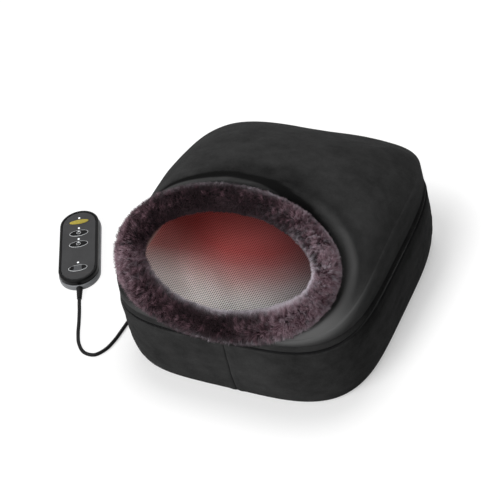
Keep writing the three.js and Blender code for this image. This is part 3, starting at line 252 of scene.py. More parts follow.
def outward(x, y):
    """Share of the way from the middle to the body's outline, by the outline's own power."""
    s = np.sin(np.arctan2(y / HALF_DEPTH, x / HALF_WIDTH))
    n = squareness(s)
    across = np.abs(x / (HALF_WIDTH * (1 - 0.04 * y / HALF_DEPTH)))
    return (across**n + np.abs(y / HALF_DEPTH) ** n) ** (1 / n)


def crown(x, y):
    """Rise of the mesh, 6 mm at the middle: 6 times the square of 1 - (share of the way out) squared."""
    return 6 * (1 - np.minimum(outward(x, y), 1) ** 2) ** 2


# Collar line and hood surface

TILT = np.radians(37.4)
COLLAR_MIDDLE = np.array([-2.8, -118.2, 164.0])
COLLAR_UP = np.array([0, -np.sin(TILT), np.cos(TILT)])
COLLAR_WIDE, COLLAR_HIGH = 135.8, 79.4
HEM_TOP, HEM_LOW = 109.0, 97.9
# the gusset leans in by this much for each millimetre of its height
LEAN = 0.3


def collar_line(share):
    """Tilted oval with half axes of 135.8 and 79.4 mm, leaning back by 37.4 degrees."""
    a = np.asarray(share) * TURN
    rise = COLLAR_HIGH * np.sin(a)
    return np.stack([COLLAR_WIDE * np.cos(a), rise * np.cos(TILT), rise * np.sin(TILT)], -1) + COLLAR_MIDDLE


def collar_out(share):
    """Unit vector in the collar's plane, square to its line and away from its middle."""
    a = np.asarray(share) * TURN
    up = COLLAR_WIDE * np.sin(a)
    return unit(np.stack([COLLAR_HIGH * np.cos(a), up * np.cos(TILT), up * np.sin(TILT)], -1))


def dome(x, y):
    """Height of the hood: superellipse of power 2.65 under a peak line of 205 mm that drops to the front."""
    along = y / HALF_DEPTH
    peak = 205 + 15 * along - 70 * along**2
    power = 2.65
    return HEM_TOP + (peak - HEM_TOP) * (1 - np.minimum(outward(x, y), 1) ** power) ** (1 / power)


def hood_skin(share, along):
    """From the hem's foot (-1) over its top (0) to the collar line (1): the plan is a straight blend of the
    outline and the collar line, on the dome, lifted by the cube of the way so that it ends on the line."""
    share, along = np.broadcast_arrays(share, along)
    hem_z = HEM_TOP + (HEM_LOW - HEM_TOP) * np.clip(-along, 0, 1)
    hem = outline(share, LEAN * (hem_z - SEAM), hem_z)
    edge, mouth = outline(share, 4.2), collar_line(share)
    a = np.clip(along, 0, 1)[..., None]
    plan = edge * (1 - a) + mouth * a
    lift = mouth[..., 2] - dome(mouth[..., 0], mouth[..., 1])
    top = np.stack([plan[..., 0], plan[..., 1], dome(plan[..., 0], plan[..., 1]) + lift * a[..., 0] ** 3], -1)
    return np.where(along[..., None] <= 0, hem, top)


collar_samples = collar_line(np.linspace(0, 1, 361)[:-1])


def collar_distance(points):
    """Distance of each point from the collar line, and the angle of the nearest place on it."""
    flat = points.reshape(-1, 3)
    gap = np.linalg.norm(flat[:, None] - collar_samples[None], axis=2)
    nearest = gap.argmin(1)
    return gap.min(1).reshape(points.shape[:-1]), (nearest / 360 * TURN).reshape(points.shape[:-1])


def mouth_rim(points):
    """Height of the soft rim round the mouth, and the painted light and shade on its cloth. Both are bells of
    the distance d from the collar line, weighted by where round the collar a point lies: a hollow 18 mm out,
    then a raised fold and a second, fainter one. They are strong at the back and right and fade out at the
    front left.
    Painted highlights lie along the folds, and painted shade in the hollow and behind the collar."""
    d, angle = collar_distance(points)
    strong = 0.25 + 0.75 * ease(np.cos(angle - 0.22 * TURN / 2), -0.75, 0.35)
    near = -7.5 * hump(d, 18, 6)
    fold = 4.6 * hump(d, 38, 8) + 1.4 * hump(d, 62, 9)
    right = ease(np.cos(angle + 0.07 * TURN), -0.2, 0.9)
    behind = ease(np.cos(angle - 0.17 * TURN), 0.1, 0.95)
    front_right = ease(np.cos(angle + 0.14 * TURN), 0.5, 1)
    # painted highlights on the folds at the right and front right, and painted shade next to the collar and
    # behind it
    nap = (1.15 * hump(d, 35, 14) + 0.6 * hump(d, 64, 19)) * right
    nap = nap + (1.1 * hump(d, 38, 13) - 0.3 * hump(d, 20, 6)) * front_right
    nap = nap - (0.6 * hump(d, 20, 8) + 0.4 * hump(d, 48, 20)) * behind
    # round the back left a narrow ridge lies beside the collar, with a crease behind it; the ridge gets a
    # painted highlight and the crease painted shade
    back_left = ease(np.cos(angle - 0.28 * TURN), 0.5, 0.93)
    crease = 41 - 14 * (1 - ease(angle, 0.16 * TURN, 0.29 * TURN))
    nap = nap + (0.6 * hump(d, crease - 10, 5) - 1.3 * hump(d, crease, 4.5)) * back_left
    ridge = (2.2 * hump(d, crease - 11, 6) - 2.8 * hump(d, crease, 4.5)) * back_left
    return strong * (near + fold * (0.6 + 0.4 * np.cos(angle))) + ridge, nap


# Shader trees

def srgb(*levels):
    """Linear colour from display levels of 0 to 255."""
    c = np.array(levels) / 255
    return tuple(np.where(c <= 0.04045, c / 12.92, ((c + 0.055) / 1.055) ** 2.4))


class Field:
    """A socket whose value varies over a surface. Arithmetic on it adds Math nodes."""

    def __init__(self, finish, socket):
        self.finish, self.socket = finish, socket

    def math(self, operation, *others):
        """A Math node on this value and the others."""
        values = dict(enumerate((self, *others)))
        return self.finish.node("Math", {"operation": operation}, values)

    def wave(self, length):
        """Sine of this value, which comes round once in each length."""
        return (self * (TURN / length)).math("SINE")

    def __add__(self, other):
        return self.math("ADD", other)

    def __sub__(self, other):
        return self.math("SUBTRACT", other)

    def __mul__(self, other):
        return self.math("MULTIPLY", other)

    def __pow__(self, other):
        return self.math("POWER", other)

    def __rsub__(self, other):
        return self.finish.node("Math", {"operation": "SUBTRACT"}, {0: other, 1: self})

    __radd__, __rmul__ = __add__, __mul__


class Finish:
    """A material under construction, on one Principled shader."""

    def __init__(self, name, **settings):
        self.material = bpy.data.materials.new(name)
        self.material.use_nodes = True
        self.tree = self.material.node_tree
        self.shader = self.tree.nodes["Principled BSDF"]
        for key, value in settings.items():
            self.set(key.replace("_", " ").title().replace("Ior", "IOR"), value)

    def set(self, key, value):
        """Gives an input of the shader a constant or a link."""
        self.feed(self.shader.inputs[key], value)

    def feed(self, socket, value):
        """Links a field to a socket, or sets a constant on it."""
        if isinstance(value, Field):
            self.tree.links.new(value.socket, socket)
        elif isinstance(value, (tuple, list)) and len(value) == 3 and len(socket.default_value) == 4:
            socket.default_value = (*value, 1)
        else:
            socket.default_value = value

    def node(self, kind, settings, sockets, output=0):
        """Adds a node: its type, its settings, and the values or links of its sockets."""
        made = self.tree.nodes.new("ShaderNode" + kind)
        for key, value in settings.items():
            if key != "stops":
                setattr(made, key, value)
                continue
            stops = made.color_ramp.elements
            stops.remove(stops[1])
            stops[0].position, stops[0].color = value[0][0], (*value[0][1], 1)
            for place, colour in value[1:]:
                stops.new(place).color = (*colour, 1)
        for key, value in sockets.items():
            self.feed(made.inputs[key], value)
        return Field(self, made.outputs[output])

    def place(self):
        """Place on the piece, in metres of the part's frame."""
        return self.node("TexCoord", {}, {}, "Object")

    def axes(self, vector=None):
        """The three numbers of a vector field, or of the place on the piece where none is given."""
        apart = self.node("SeparateXYZ", {}, {0: vector or self.place()})
        outputs = apart.socket.node.outputs
        return [Field(self, outputs[i]) for i in range(3)]

    def noise(self, scale, detail, rough=0.55, stretch=None):
        """Soft noise of about 0 to 1, scale cells to the metre, drawn out where stretch is below 1."""
        at = self.place()
        if stretch:
            at = self.node("Mapping", {}, {"Vector": at, "Scale": stretch})
        return self.node("TexNoise", {}, {"Vector": at, "Scale": scale, "Detail": detail, "Roughness": rough})

    def cells(self, scale, **settings):
        """Distance to the nearest of scattered points, about scale of them to the metre."""
        return self.node("TexVoronoi", settings, {"Vector": self.place(), "Scale": scale})

    def held(self, name, output="Fac"):
        """What the piece's points hold under the name."""
        return self.node("Attribute", {"attribute_name": name}, {}, output)

    def ramp(self, factor, *stops):
        """Colour at factor between the stops, each a place and three display levels."""
        stops = [(place, srgb(*levels)) for place, *levels in stops]
        return self.node("ValToRGB", {"stops": stops}, {0: factor})

    def span(self, value, low, high, to_low=0.0, to_high=1.0):
        """value from low to high, mapped on to_low to to_high and held there."""
        return self.node("MapRange", {}, {0: value, 1: low, 2: high, 3: to_low, 4: to_high})

    def mix(self, factor, a, b, blend="MIX"):
        """Colour from a at factor 0 to b at factor 1."""
        return self.node("Mix", {"data_type": "RGBA", "blend_type": blend}, {0: factor, 6: a, 7: b}, 2)

    def tint(self, value, low, high, colour, shade):
        """Base colour: the colour times shade where value is low, up to the colour itself where it is high."""
        dark = tuple(level * shade for level in colour)
        self.set("Base Color", self.mix(self.span(value, low, high), dark, colour))

    def uneven(self, value, rough, least, most):
        """Roughness of least to most times rough, as value goes from 0.3 to 0.7."""
        self.set("Roughness", self.span(value, 0.3, 0.7, rough * least, rough * most))

    def bump(self, height, depth, strength, over=None):
        """Raises the shader's normal by a height, over an earlier bump where one is given."""
        sockets = {"Height": height, "Distance": depth, "Strength": strength}
        if over:
            sockets["Normal"] = over
        made = self.node("Bump", {}, sockets)
        self.set("Normal", made)
        return made


def velour(name, dark, light):
    """Short-pile cloth: soft patches and streaks in its pile, fine pile bumps, and a dull sheen at grazing
    angles.
    A value held at each point, where a piece has one, paints highlights paler and shade darker on it."""
    pile = 0.00035
    f = Finish(name, roughness=0.9, sheen_weight=0.035, sheen_roughness=0.4, specular_ior_level=0.03)
    f.set("Sheen Tint", (*srgb(170, 172, 174), 1))
    patches = f.noise(15, 4, 0.6)
    streaks = f.noise(44, 3, 0.65, stretch=(1, 1.3, 1.7))
    speckle = f.noise(900, 2, 0.7)
    # painted light and shade held at each point move the tone darker or paler, and from 0.5 up lift the colour
    # towards a painted highlight colour 1.9 times the light one
    painted_level = f.held("nap")
    tone = f.span(patches * 0.28 + streaks * 0.2 + speckle * 0.2 + painted_level * 0.32 + 0.15, 0.3, 0.7)
    pale = tuple(level * 1.9 for level in light)
    f.set("Base Color", f.mix(f.span(painted_level, 0.5, 1.4), f.mix(tone, dark, light), pale))
    f.set("Roughness", f.span(patches, 0.3, 0.7, 0.82, 0.96))
    soft = f.bump(f.noise(34, 3, 0.5), 0.0016, 0.35)
    f.bump(f.noise(2100, 2, 0.6) + f.noise(700, 2, 0.6) * 0.7, pile, 0.6, soft)
    return f.material


def plastic(name, colour, grain, roughness=0.45, **more):
    """Moulded plastic: a spark-eroded grain of this depth, slightly uneven gloss and faint colour drift."""
    f = Finish(name, roughness=roughness, **more)
    f.tint(f.noise(40, 3, 0.5), 0.35, 0.65, colour, 0.86)
    f.uneven(f.noise(90, 2, 0.6), roughness, 0.88, 1.12)
    f.bump(f.noise(1500, 2, 0.6), grain, 0.5)
    return f.material


def plush(name, dark, light, scale=420, spill=0.0):
    """Brushed lining: tufts a few millimetres across that catch the light at their tips. The mesh's glow spills
    on a short stretch of it at the hem of the left wall."""
    f = Finish(name, roughness=0.95, sheen_weight=0.1, specular_ior_level=0.15)
    tufts = f.cells(scale * 0.6)
    hair = f.noise(scale, 4, 0.7, stretch=(1, 1, 0.5))
    tone = f.span(hair * 0.7 + tufts * 0.3 + f.noise(22, 3) * 0.4, 0.42, 0.95)
    f.set("Base Color", f.mix(tone, dark, light))
    f.bump(hair + tufts * 0.5, 0.0011, 0.7)
    if spill:
        x, y, z = f.axes()
        near = f.span(z, 0.113, 0.104) * f.span(x, -0.13, -0.15) * f.span(y, -0.078, -0.058)
        red = f.ramp(f.span(y, -0.06, 0.0), (0.0, 206, 168, 160), (0.6, 190, 120, 116), (1.0, 120, 56, 54))
        f.set("Emission Color", f.mix(near * f.span(y, 0.03, -0.01), (0.0, 0.0, 0.0), red))
        f.set("Emission Strength", spill)
    return f.material


def foam(name, colour):
    """Open-cell foam: small pores over a slightly yellowed block."""
    f = Finish(name, roughness=0.95, specular_ior_level=0.2)
    pores = f.cells(700.0)
    f.tint(pores, 0.0, 0.45, colour, 0.62)
    f.bump(pores, 0.0005, 0.6)
    return f.material


def metal(name, colour):
    """Turned steel: fine drag lines and a few dull patches."""
    roughness = 0.3
    f = Finish(name, metallic=1.0, roughness=roughness)
    drag = f.noise(240, 3, 0.6, stretch=(1, 1, 9))
    f.tint(f.noise(60, 3), 0.3, 0.7, colour, 0.8)
    f.uneven(drag, roughness, 0.8, 1.35)
    f.bump(drag, 0.00005, 0.4)
    return f.material


def board(name):
    """Printed board: green solder mask with a net of slightly lighter tracks."""
    f = Finish(name, roughness=0.4)
    tracks = f.span(f.cells(160.0, feature="DISTANCE_TO_EDGE"), 0.04, 0.1, 1.0, 0.0)
    f.set("Base Color", f.mix(tracks, srgb(24, 74, 40), srgb(52, 118, 66)))
    f.bump(tracks, 0.00006, 0.6)
    return f.material


def woven_mesh(name):
    """Open woven mesh: threads 2.8 mm apart both ways with dark holes between them, and a lamp glow from below
    that is painted into the colour of threads and holes and emitted. The red glow is a flat oval round (-40,
    10) mm, full out to 58 mm along Y and gone at 145 mm, and 1.7 times as wide along X; past it the bare
        threads are pale,
    nearly white. A painted white glow fills the front left corner, and painted shade darkens the weave and its
    red
    glow towards the back right: both follow x + 0.83 y."""
    f = Finish(name, roughness=0.85, specular_ior_level=0.2)
    x, y, z = f.axes()
    pitch = 0.0028
    holes = f.span(x.wave(pitch).math("MINIMUM", y.wave(pitch)) + f.noise(380, 2, 0.5) * 0.5, -0.2, 0.4)
    across, along = (x + 0.040) * 0.6, y - 0.010
    reach = (across * across + along * along).math("SQRT") + f.noise(24, 3) * 0.016
    cool = f.span(reach, 0.058, 0.145)
    # the lamp's red glow, painted into the colour of the threads and of the holes
    thread = f.ramp(
        cool,
        (0.0, 204, 100, 98),
        (0.2, 204, 122, 120),
        (0.45, 218, 168, 165),
        (0.75, 238, 220, 218),
        (1.0, 248, 242, 240),
    )
    under = f.ramp(cool, (0.0, 84, 28, 27), (0.45, 74, 44, 42), (1.0, 54, 46, 45))
    slant = x + y * 0.83
    # painted shade towards the back right, on the weave and on its red glow
    painted_shade = f.span(slant, -0.090, 0.030)
    weave = f.mix(holes, thread, under)
    f.set("Base Color", f.mix(painted_shade, weave, (0.26, 0.30, 0.32), "MULTIPLY"))
    red = f.mix(cool, f.mix(painted_shade, srgb(134, 52, 49), srgb(50, 24, 24)), (0.0, 0.0, 0.0))
    # painted light: a white glow over the front left corner, fading to red towards the back
    low = f.span(y, 0.0, -0.10)
    lamp = f.ramp(low, (0.0, 66, 28, 27), (0.5, 156, 104, 101), (1.0, 255, 240, 236))
    shine = f.mix(f.span(slant, -0.113, -0.161), red, lamp, "ADD")
    f.set("Emission Color", f.mix(holes * 0.6, shine, (0.0, 0.0, 0.0)))
    f.set("Emission Strength", 0.245)
    f.bump(1.0 - holes, 0.0007, 0.8)
    return f.material


def fur_finish(name):
    """Long plush: each hair runs from a dark root to a paler, greyer tip. The hair attribute holds the way
    along the hair, the tone of its place with its painted light and shade, and its own tone. The pale attribute
    turns hairs nearly white where the backing shows, and paints highlights along the rim and on tips at the
    right."""
    f = Finish(name, roughness=0.7, specular_ior_level=0.3)
    way, patch, own = f.axes(f.held("hair", "Color"))
    pale = f.held("pale")
    body = f.ramp(
        f.span(way * 0.34 + patch * 0.6 + own * 0.22, 0.08, 1.1),
        (0.0, 15, 8, 10),
        (0.3, 39, 23, 29),
        (0.52, 79, 54, 62),
        (0.76, 124, 95, 105),
        (1.0, 174, 147, 157),
    )
    f.set("Base Color", f.mix(pale * (0.3 + way * 0.7), body, srgb(218, 210, 219)))
    f.bump(own, 0.0001, 0.2)
    return f.material


def tape_finish(name):
    """Woven zip tape: a fine rib along it."""
    f = Finish(name, roughness=0.75, specular_ior_level=0.1)
    rib = f.axes()[2].wave(0.0007)
    f.set("Base Color", f.mix(f.span(rib, -1.0, 1.0), srgb(10, 10, 11), srgb(22, 22, 24)))
    f.bump(rib, 0.0001, 0.5)
    return f.material


def grip(name):
    """Non-slip cloth: rubber dots 6 mm apart on dark cloth."""
    f = Finish(name, roughness=0.8)
    x, y, z = f.axes()
    dots = f.span(x.wave(0.006) * y.wave(0.006), 0.45, 0.6)
    f.set("Base Color", f.mix(dots, srgb(34, 34, 36), srgb(16, 16, 17)))
    f.set("Roughness", f.span(dots, 0.0, 1.0, 0.9, 0.5))
    f.bump(dots + f.noise(1800, 2) * 0.2, 0.0004, 0.7)
    return f.material


def rubber(name, colour, roughness):
    """Moulded rubber: faint colour drift, uneven dullness and a fine grain."""
    f = Finish(name, roughness=roughness, specular_ior_level=0.15)
    f.tint(f.noise(70, 3), 0.3, 0.7, colour, 0.7)
    f.uneven(f.noise(120, 3), roughness, 0.85, 1.15)
    f.bump(f.noise(1300, 2), 0.00005, 0.5)
    return f.material


def clear_light(name):
    """Frosted light pin: a cloudy white that glows."""
    f = Finish(name, roughness=0.3, emission_strength=0.55)
    cloudy = f.span(f.noise(600, 2), 0.3, 0.7)
    f.set("Base Color", f.mix(cloudy, srgb(235, 238, 240), srgb(255, 255, 255)))
    f.set("Emission Color", f.mix(cloudy, srgb(225, 232, 238), srgb(255, 255, 255)))
    return f.material


finishes = {
    "black_velour": velour("black_velour", srgb(18, 18, 18), srgb(72, 72, 72)),
    "plum_fur": fur_finish("plum_fur"),
    "plum_lining": plush("plum_lining", srgb(34, 25, 28), srgb(78, 62, 67), spill=0.2),
    "padding_foam": foam("padding_foam", srgb(214, 206, 188)),
    "pale_mesh": woven_mesh("pale_mesh"),
    "black_zip": tape_finish("black_zip"),
    "zip_metal": plastic("zip_metal", srgb(20, 20, 21), 0.00002, 0.35, specular_ior_level=0.15),
    "grip_cloth": grip("grip_cloth"),
    "black_housing": plastic("black_housing", srgb(42, 43, 46), 0.0001),
    "white_gear": plastic("white_gear", srgb(232, 228, 214), 0.00003, 0.35),
    "red_node": plastic("red_node", srgb(150, 30, 26), 0.00003, 0.25, coat_weight=0.3),
    "steel": metal("steel", srgb(176, 177, 180)),
    "circuit_board": board("circuit_board"),
    "black_trim": plastic("black_trim", srgb(9, 9, 10), 0.00003, 0.38, specular_ior_level=0.1),
    "black_rubber": rubber("black_rubber", srgb(20, 20, 21), 0.55),
    "grey_shell": plastic("grey_shell", srgb(126, 128, 131), 0.00005, 0.42),
    "grey_face": plastic("grey_face", srgb(66, 66, 67), 0.00005, 0.55, specular_ior_level=0.12),
    "yellow_key": plastic("yellow_key", srgb(182, 165, 66), 0.00002, 0.4, specular_ior_level=0.2),
    "black_key": plastic("black_key", srgb(7, 7, 8), 0.00002, 0.35, specular_ior_level=0.08),
    "grey_key": plastic("grey_key", srgb(80, 81, 84), 0.00002, 0.4, specular_ior_level=0.2),
    "clear_light": clear_light("clear_light"),
    "black_cord": rubber("black_cord", srgb(8, 8, 9), 0.5),
    "printed_line": plastic("printed_line", srgb(206, 208, 210), 0.00001, 0.5),
    "printed_dark": plastic("printed_dark", srgb(44, 34, 34), 0.00001, 0.5),
    "fur_core": plush("fur_core", srgb(12, 9, 10), srgb(34, 25, 29), 600),
}


def finish_piece(piece, body, slot, nodes=(), material=None):
    """Gives a new piece the finish of its slot, or the named material instead, the body that it rides on, and
    the CAD nodes it stands for.
    """
    piece.data.materials.clear()
    piece.data.materials.append(finishes[material or slot])
    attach(piece, body)
    if nodes:
        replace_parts(piece, *nodes)
    return piece


# Cord: one curve from the gland through the coil to the handset

# the cord's radius, the coil's inner radius and the distance from turn to turn
CORD, COIL_INNER, COIL_STEP = 2.5, 21.2, 5.7
GLAND_X = -52
GLAND_TIP = np.array([GLAND_X, 212.6, 17.0])
# the coil runs in and out again, through this angle each way
HALF_COIL = (4 + 150 / 360) * np.pi
COIL_OUT = COIL_INNER + COIL_STEP * HALF_COIL / TURN
COIL_MIDDLE = np.array([GLAND_X - COIL_OUT, 253.6, 3.9])
HANDSET_PLACE, HANDSET_TURN = np.array([-321.0, -11.0, 0.0]), np.radians(28.5)


def placed(points, angle, place):
    """Points turned about +Z by angle and then moved to place."""
    points = np.asarray(points, dtype=float)
    c, s = np.cos(angle), np.sin(angle)
    x, y = points[..., 0], points[..., 1]
    return np.stack([c * x - s * y, s * x + c * y, points[..., 2]], -1) + place


def on_handset(points):
    """Points of the handset's own frame, +Y towards its top end, in the part's frame."""
    return placed(points, HANDSET_TURN, HANDSET_PLACE)


def smooth_line(points, step=4.0):
    """Centripetal Catmull-Rom curve through the points, sampled about every step."""
    p = np.asarray(points, dtype=float)
    p = np.vstack([2 * p[0] - p[1], p, 2 * p[-1] - p[-2]])
    line = []
    for a, b, c, d in zip(p, p[1:], p[2:], p[3:]):
        ta, tb, tc = [np.linalg.norm(v) ** 0.5 for v in (b - a, c - b, d - c)]
        leave = ((b - a) / ta - (c - a) / (ta + tb) + (c - b) / tb) * tb
        arrive = ((c - b) / tb - (d - b) / (tb + tc) + (d - c) / tc) * tb
        s = np.linspace(0, 1, max(int(np.linalg.norm(c - b) / step), 2), endpoint=False)[:, None]
        line.append(
            (2 * s**3 - 3 * s**2 + 1) * b
            + (s**3 - 2 * s**2 + s) * leave
            + (3 * s**2 - 2 * s**3) * c
            + (s**3 - s**2) * arrive
        )
    return np.vstack(line + [p[-2:-1]])


def heading(angle):
    """Unit vector along the coil where it has turned by angle."""
    return np.array([np.sin(angle), -np.cos(angle), 0])


def coil_line():
    """Spirals in on the floor, climbs a layer in the half turn where it turns back, and spirals out: the radius
    is the inner one plus a step for each turn away from the middle."""
    a = np.linspace(-HALF_COIL, HALF_COIL, 321)
    r = COIL_INNER + COIL_STEP * np.abs(a) / TURN
    rise = COIL_STEP * ease(a, -np.pi / 2, np.pi / 2)
    return np.stack([r * np.cos(HALF_COIL - a), r * np.sin(HALF_COIL - a), rise], -1) + COIL_MIDDLE


coil = coil_line()
coil_in, coil_off = heading(2 * HALF_COIL), heading(0)
straight = 5.3
coil_start = coil[0] - coil_in * straight
coil_end = coil[-1] + coil_off * straight
# from the handset to the body's front left corner, then back along its left side
floor_route = [
    (-255, -134), (-246, -152), (-235, -169), (-220, -181), (-204, -181), (-194, -168), (-190, -150),
    (-189, -130), (-188.5, -100), (-188, -40), (-188, 20), (-188, 80), (-187, 130), (-182, 170), (-169, 204),
    (-150, 229),
]
boot_end = on_handset([(0, -95.6, 5.6), (0, -105.3, 5.6), (0, -117.3, 4.2)])
loose = smooth_line(
    [*boot_end, *[(x, y, CORD) for x, y in floor_route], *[coil_start - coil_in * k for k in (14, 5, 0)]]
)
tail = smooth_line(
    [coil_end, coil_end + coil_off * 5, (coil_end + GLAND_TIP) / 2, GLAND_TIP + (0, 5, 0), GLAND_TIP], 2.0
)
route = np.vstack([loose[:-1], coil_start, coil, coil_end, tail[1:]])[::-1] * MM

cord_curve = bpy.data.curves.new("handset_cord", "CURVE")
cord_curve.dimensions = "3D"
cord_curve.bevel_depth, cord_curve.bevel_resolution = CORD * MM, 4
cord_curve.use_fill_caps = True
spline = cord_curve.splines.new("POLY")
spline.points.add(len(route) - 1)
spline.points.foreach_set("co", np.column_stack([route, np.ones(len(route))]).ravel())
spline.use_smooth = True
cord = bpy.data.objects.new("handset_cord", cord_curve)
scene.collection.objects.link(cord)
finish_piece(cord, "base", "black_cord", ("handset_cord_coil", "handset_cord_loose", "handset_cord_tail"))


def circle(radius, count):
    """A ring of points round the origin."""
    a = np.arange(count) / count * TURN
    return np.stack([radius * np.cos(a), radius * np.sin(a)], -1)


def turned_rings(profile):
    """Rings of a turned piece, from (radius, height) pairs, standing along Z."""
    profile = np.asarray(profile, dtype=float)[:, None]
    ring = circle(1, 32)
    heights = np.broadcast_to(profile[..., 1:], (len(profile), len(ring), 1))
    return np.concatenate([profile[..., :1] * ring, heights], -1)


def ribbed(root, tip, length, ribs, depth):
    """Profile of a tapered strain relief with rounded ribs: radius root to tip, less a wave of the depth."""
    s = np.linspace(0, 1, ribs * 12 + 1)
    wave = np.clip(np.cos(s * ribs * TURN) * 1.6, -1, 1)
    return np.stack([root + (tip - root) * s - depth * (1 - wave) / 2, s * length], -1)


boot_profile = [(0.1, -2), (2.9, -2), (2.9, 0.3), *(ribbed(4.6, 3.5, 20, 5, 0.8) + (0, 0.4))]
boot_profile += [(2.7, 20.4), (0.1, 20.4)]
boot_rings = turned_rings(boot_profile)[..., [0, 2, 1]] * (1, -1, 1) + (0, -75, 5.6)
boot = finish_piece(stack("cord_boot", on_handset(boot_rings)), "base", "black_rubber", ["handset_boot"])
gland_profile = [(0.1, 0), (4.3, 0), (4.3, 10.3), (6, 10.4), (6, 13), (5.4, 13.6)]
gland_profile += [*(ribbed(4.6, 3.3, 18, 5, 0.7) + (0, 13.8)), (2.7, 32), (0.1, 32)]
gland_rings = turned_rings(gland_profile)[..., [0, 2, 1]] * (-1, 1, 1) + (GLAND_X, 180.3, 17)
gland = finish_piece(stack("gland_sleeve", gland_rings), "base", "black_rubber", ["cord_gland"])


def at_points(piece, name, values):
    """Stores a value at each point of a piece, which its material reads by the name."""
    held = piece.data.attributes.new(name, "FLOAT", "POINT")
    held.data.foreach_set("value", np.asarray(values).ravel().astype(np.float32))


def brush_nap(piece, values):
    """Paints light and shade at each point of a velour piece: above 0 a paler painted highlight, below 0 a
    darker painted shade.
    """
    at_points(piece, "nap", values)


# Hood: panel, gusset, padding and lining

HOOD_ROWS = 72
hood_shares = even_shares(300)


def hood_end(gap, least):
    """How far along each line of the skin stops, where it comes within gap of the collar's line, but no
    sooner than the least share of the way."""
    along = np.linspace(least, 1, 161)
    points = hood_skin(hood_shares[None], along[:, None])
    near = collar_distance(points)[0] < gap
    return along[np.argmax(near, axis=0)]


def blurred(values, times):
    """Values round the loop, each averaged with its neighbours several times."""
    for _ in range(times):
        values = (np.roll(values, 1) + values * 2 + np.roll(values, -1)) / 4
    return values


def hood_grid(end_gap, rows=HOOD_ROWS, first=0.0, least=0.2):
    """Grid of the skin from the hem's top, or from first below it, to end_gap from the collar's line; the same
    grid with the rim's folds and soft creases added square to the surface; and the painted light and shade on
    it."""
    end = blurred(hood_end(end_gap, least), 8)
    along = np.linspace(0, 1, rows)[:, None] ** 1.25 * end[None]
    if first < 0:
        along = np.vstack([np.full(end.size, first), np.full(end.size, first / 2), along])
    points = hood_skin(hood_shares[None], along)
    x, y, z = points[..., 0], points[..., 1], points[..., 2]
    # the folds fade out over the last 22 mm before the hem
    fade = ease((1 - outward(x, y)) * 180, 5, 22)
    rim, nap = mouth_rim(points)
    lift = (rim + ripple(points, 95, 3) * 0.9 + ripple(points, 38, 4) * 0.25) * fade
    # along the right side the wall is pressed into a crease, and below it the wall is darkened with painted
    # shade
    crease = 11 * hump(np.minimum(y, -62), -62, 82) * ease(x, 70, 135) * (1 - ease(y, 95, 160))
    above = z - HEM_TOP - crease
    lift = lift - 0.9 * hump(above, 0, 2.5) * ease(crease, 2, 6)
    behind = ease(y, -135, -90)
    nap = nap * fade - 0.42 * (1 - ease(above, -1.5, 1.5)) * ease(crease, 0.5, 4) * behind
    # and painted highlights above it, most of all round the front right corner, and just above the hem at the
    # front left
    corner = ease(x, 40, 110) * (1 - ease(y, -150, -80))
    front_left = (1 - ease(x, -60, 40)) * (1 - ease(y, -160, -100))
    nap = nap + 0.9 * hump(above, 3, 6) * front_left
    nap = nap + hump(above, 10, 13) * (1.35 * corner + 0.5 * ease(x, 120, 150) * behind)
    return points, points + normals_of(points) * lift[..., None], nap


plain, panel_outer, panel_painted_light = hood_grid(9.5, least=0.72)
panel_normal = normals_of(plain)
share_up = np.linspace(0, 1, HOOD_ROWS)[:, None, None]
# the panel's edge is a soft roll that overhangs the gusset by two and a half millimetres
roll = hump(share_up * HOOD_ROWS, 0.0, 1.6)
panel_outer = panel_outer + panel_normal * 2.5 * roll - (0, 0, 1.3) * roll
panel = shell("hood_cloth", panel_outer, panel_outer - panel_normal * (3.0 - 0.4 * roll))
finish_piece(panel, "hood", "black_velour", ["hood_panel"])
brush_nap(panel, np.tile(panel_painted_light.ravel(), 2))

# the gusset: a strip that leans in, its lower edge turned under above the zip
gusset_z = np.array([99.2, 98.2, 97.9, 98.1, 99.0, 101.5, 104.0, 106.5, 108.2, 108.5, 108.3, 107.0, 102.0])
gusset_in = np.array([3.0, 2.6, 1.5, 0.5, 0.1, 0.3, 0.6, 0.4, 0.5, 1.2, 2.4, 2.9, 3.0])
gusset_shares = even_shares(320)
gusset_sections = outline(gusset_shares[:, None], LEAN * (gusset_z - SEAM) + gusset_in, gusset_z)
gusset = carried("hood_side_strip", gusset_sections, True)
finish_piece(gusset, "hood", "black_velour", ["hood_gusset"])
# painted shade along the right side, under the panel's edge
along_right = ease(gusset_sections[..., 0], 60, 150) * ease(gusset_sections[..., 1], -135, -90)
brush_nap(gusset, -0.5 * along_right)

# the wadding and the lining lie at a depth below the skin, and the lining's hem turns out to another depth
# below the wadding and hides it
for name, node, slot, end_gap, rows, first, depth, hem_depths, thick in (
    ("hood_wadding", "hood_padding", "padding_foam", 24, 40, -0.2, 3.4, [], 4.5),
    ("hood_plush_lining", "hood_lining", "plum_lining", 15, 56, -0.8, 8.6, [5.4, 8.2], 2.8),
):
    base, raised, _ = hood_grid(end_gap, rows, first)
    normal = normals_of(base)
    depths = np.array(hem_depths + [depth] * (len(base) - len(hem_depths)))
    top = raised - normal * depths[:, None, None]
    piece = shell(name, top, top - normal * thick)
    finish_piece(piece, "hood", slot, [node])


# Collar: a soft core and its long plush

# radius of the core, of the circle where the hairs' roots lie under its skin, and of the pile's middle
CORE, ROOTS, PILE = 13.4, 12.9, 16.0


def collar_point(share, spin, radius):
    """Point of the tube round the collar line: radius along out at spin 0, along the collar's normal at 1/4."""
    spin = np.asarray(spin) * TURN
    return (
        collar_line(share)
        + collar_out(share) * (radius * np.cos(spin))[..., None]
        + COLLAR_UP * (radius * np.sin(spin))[..., None]
    )


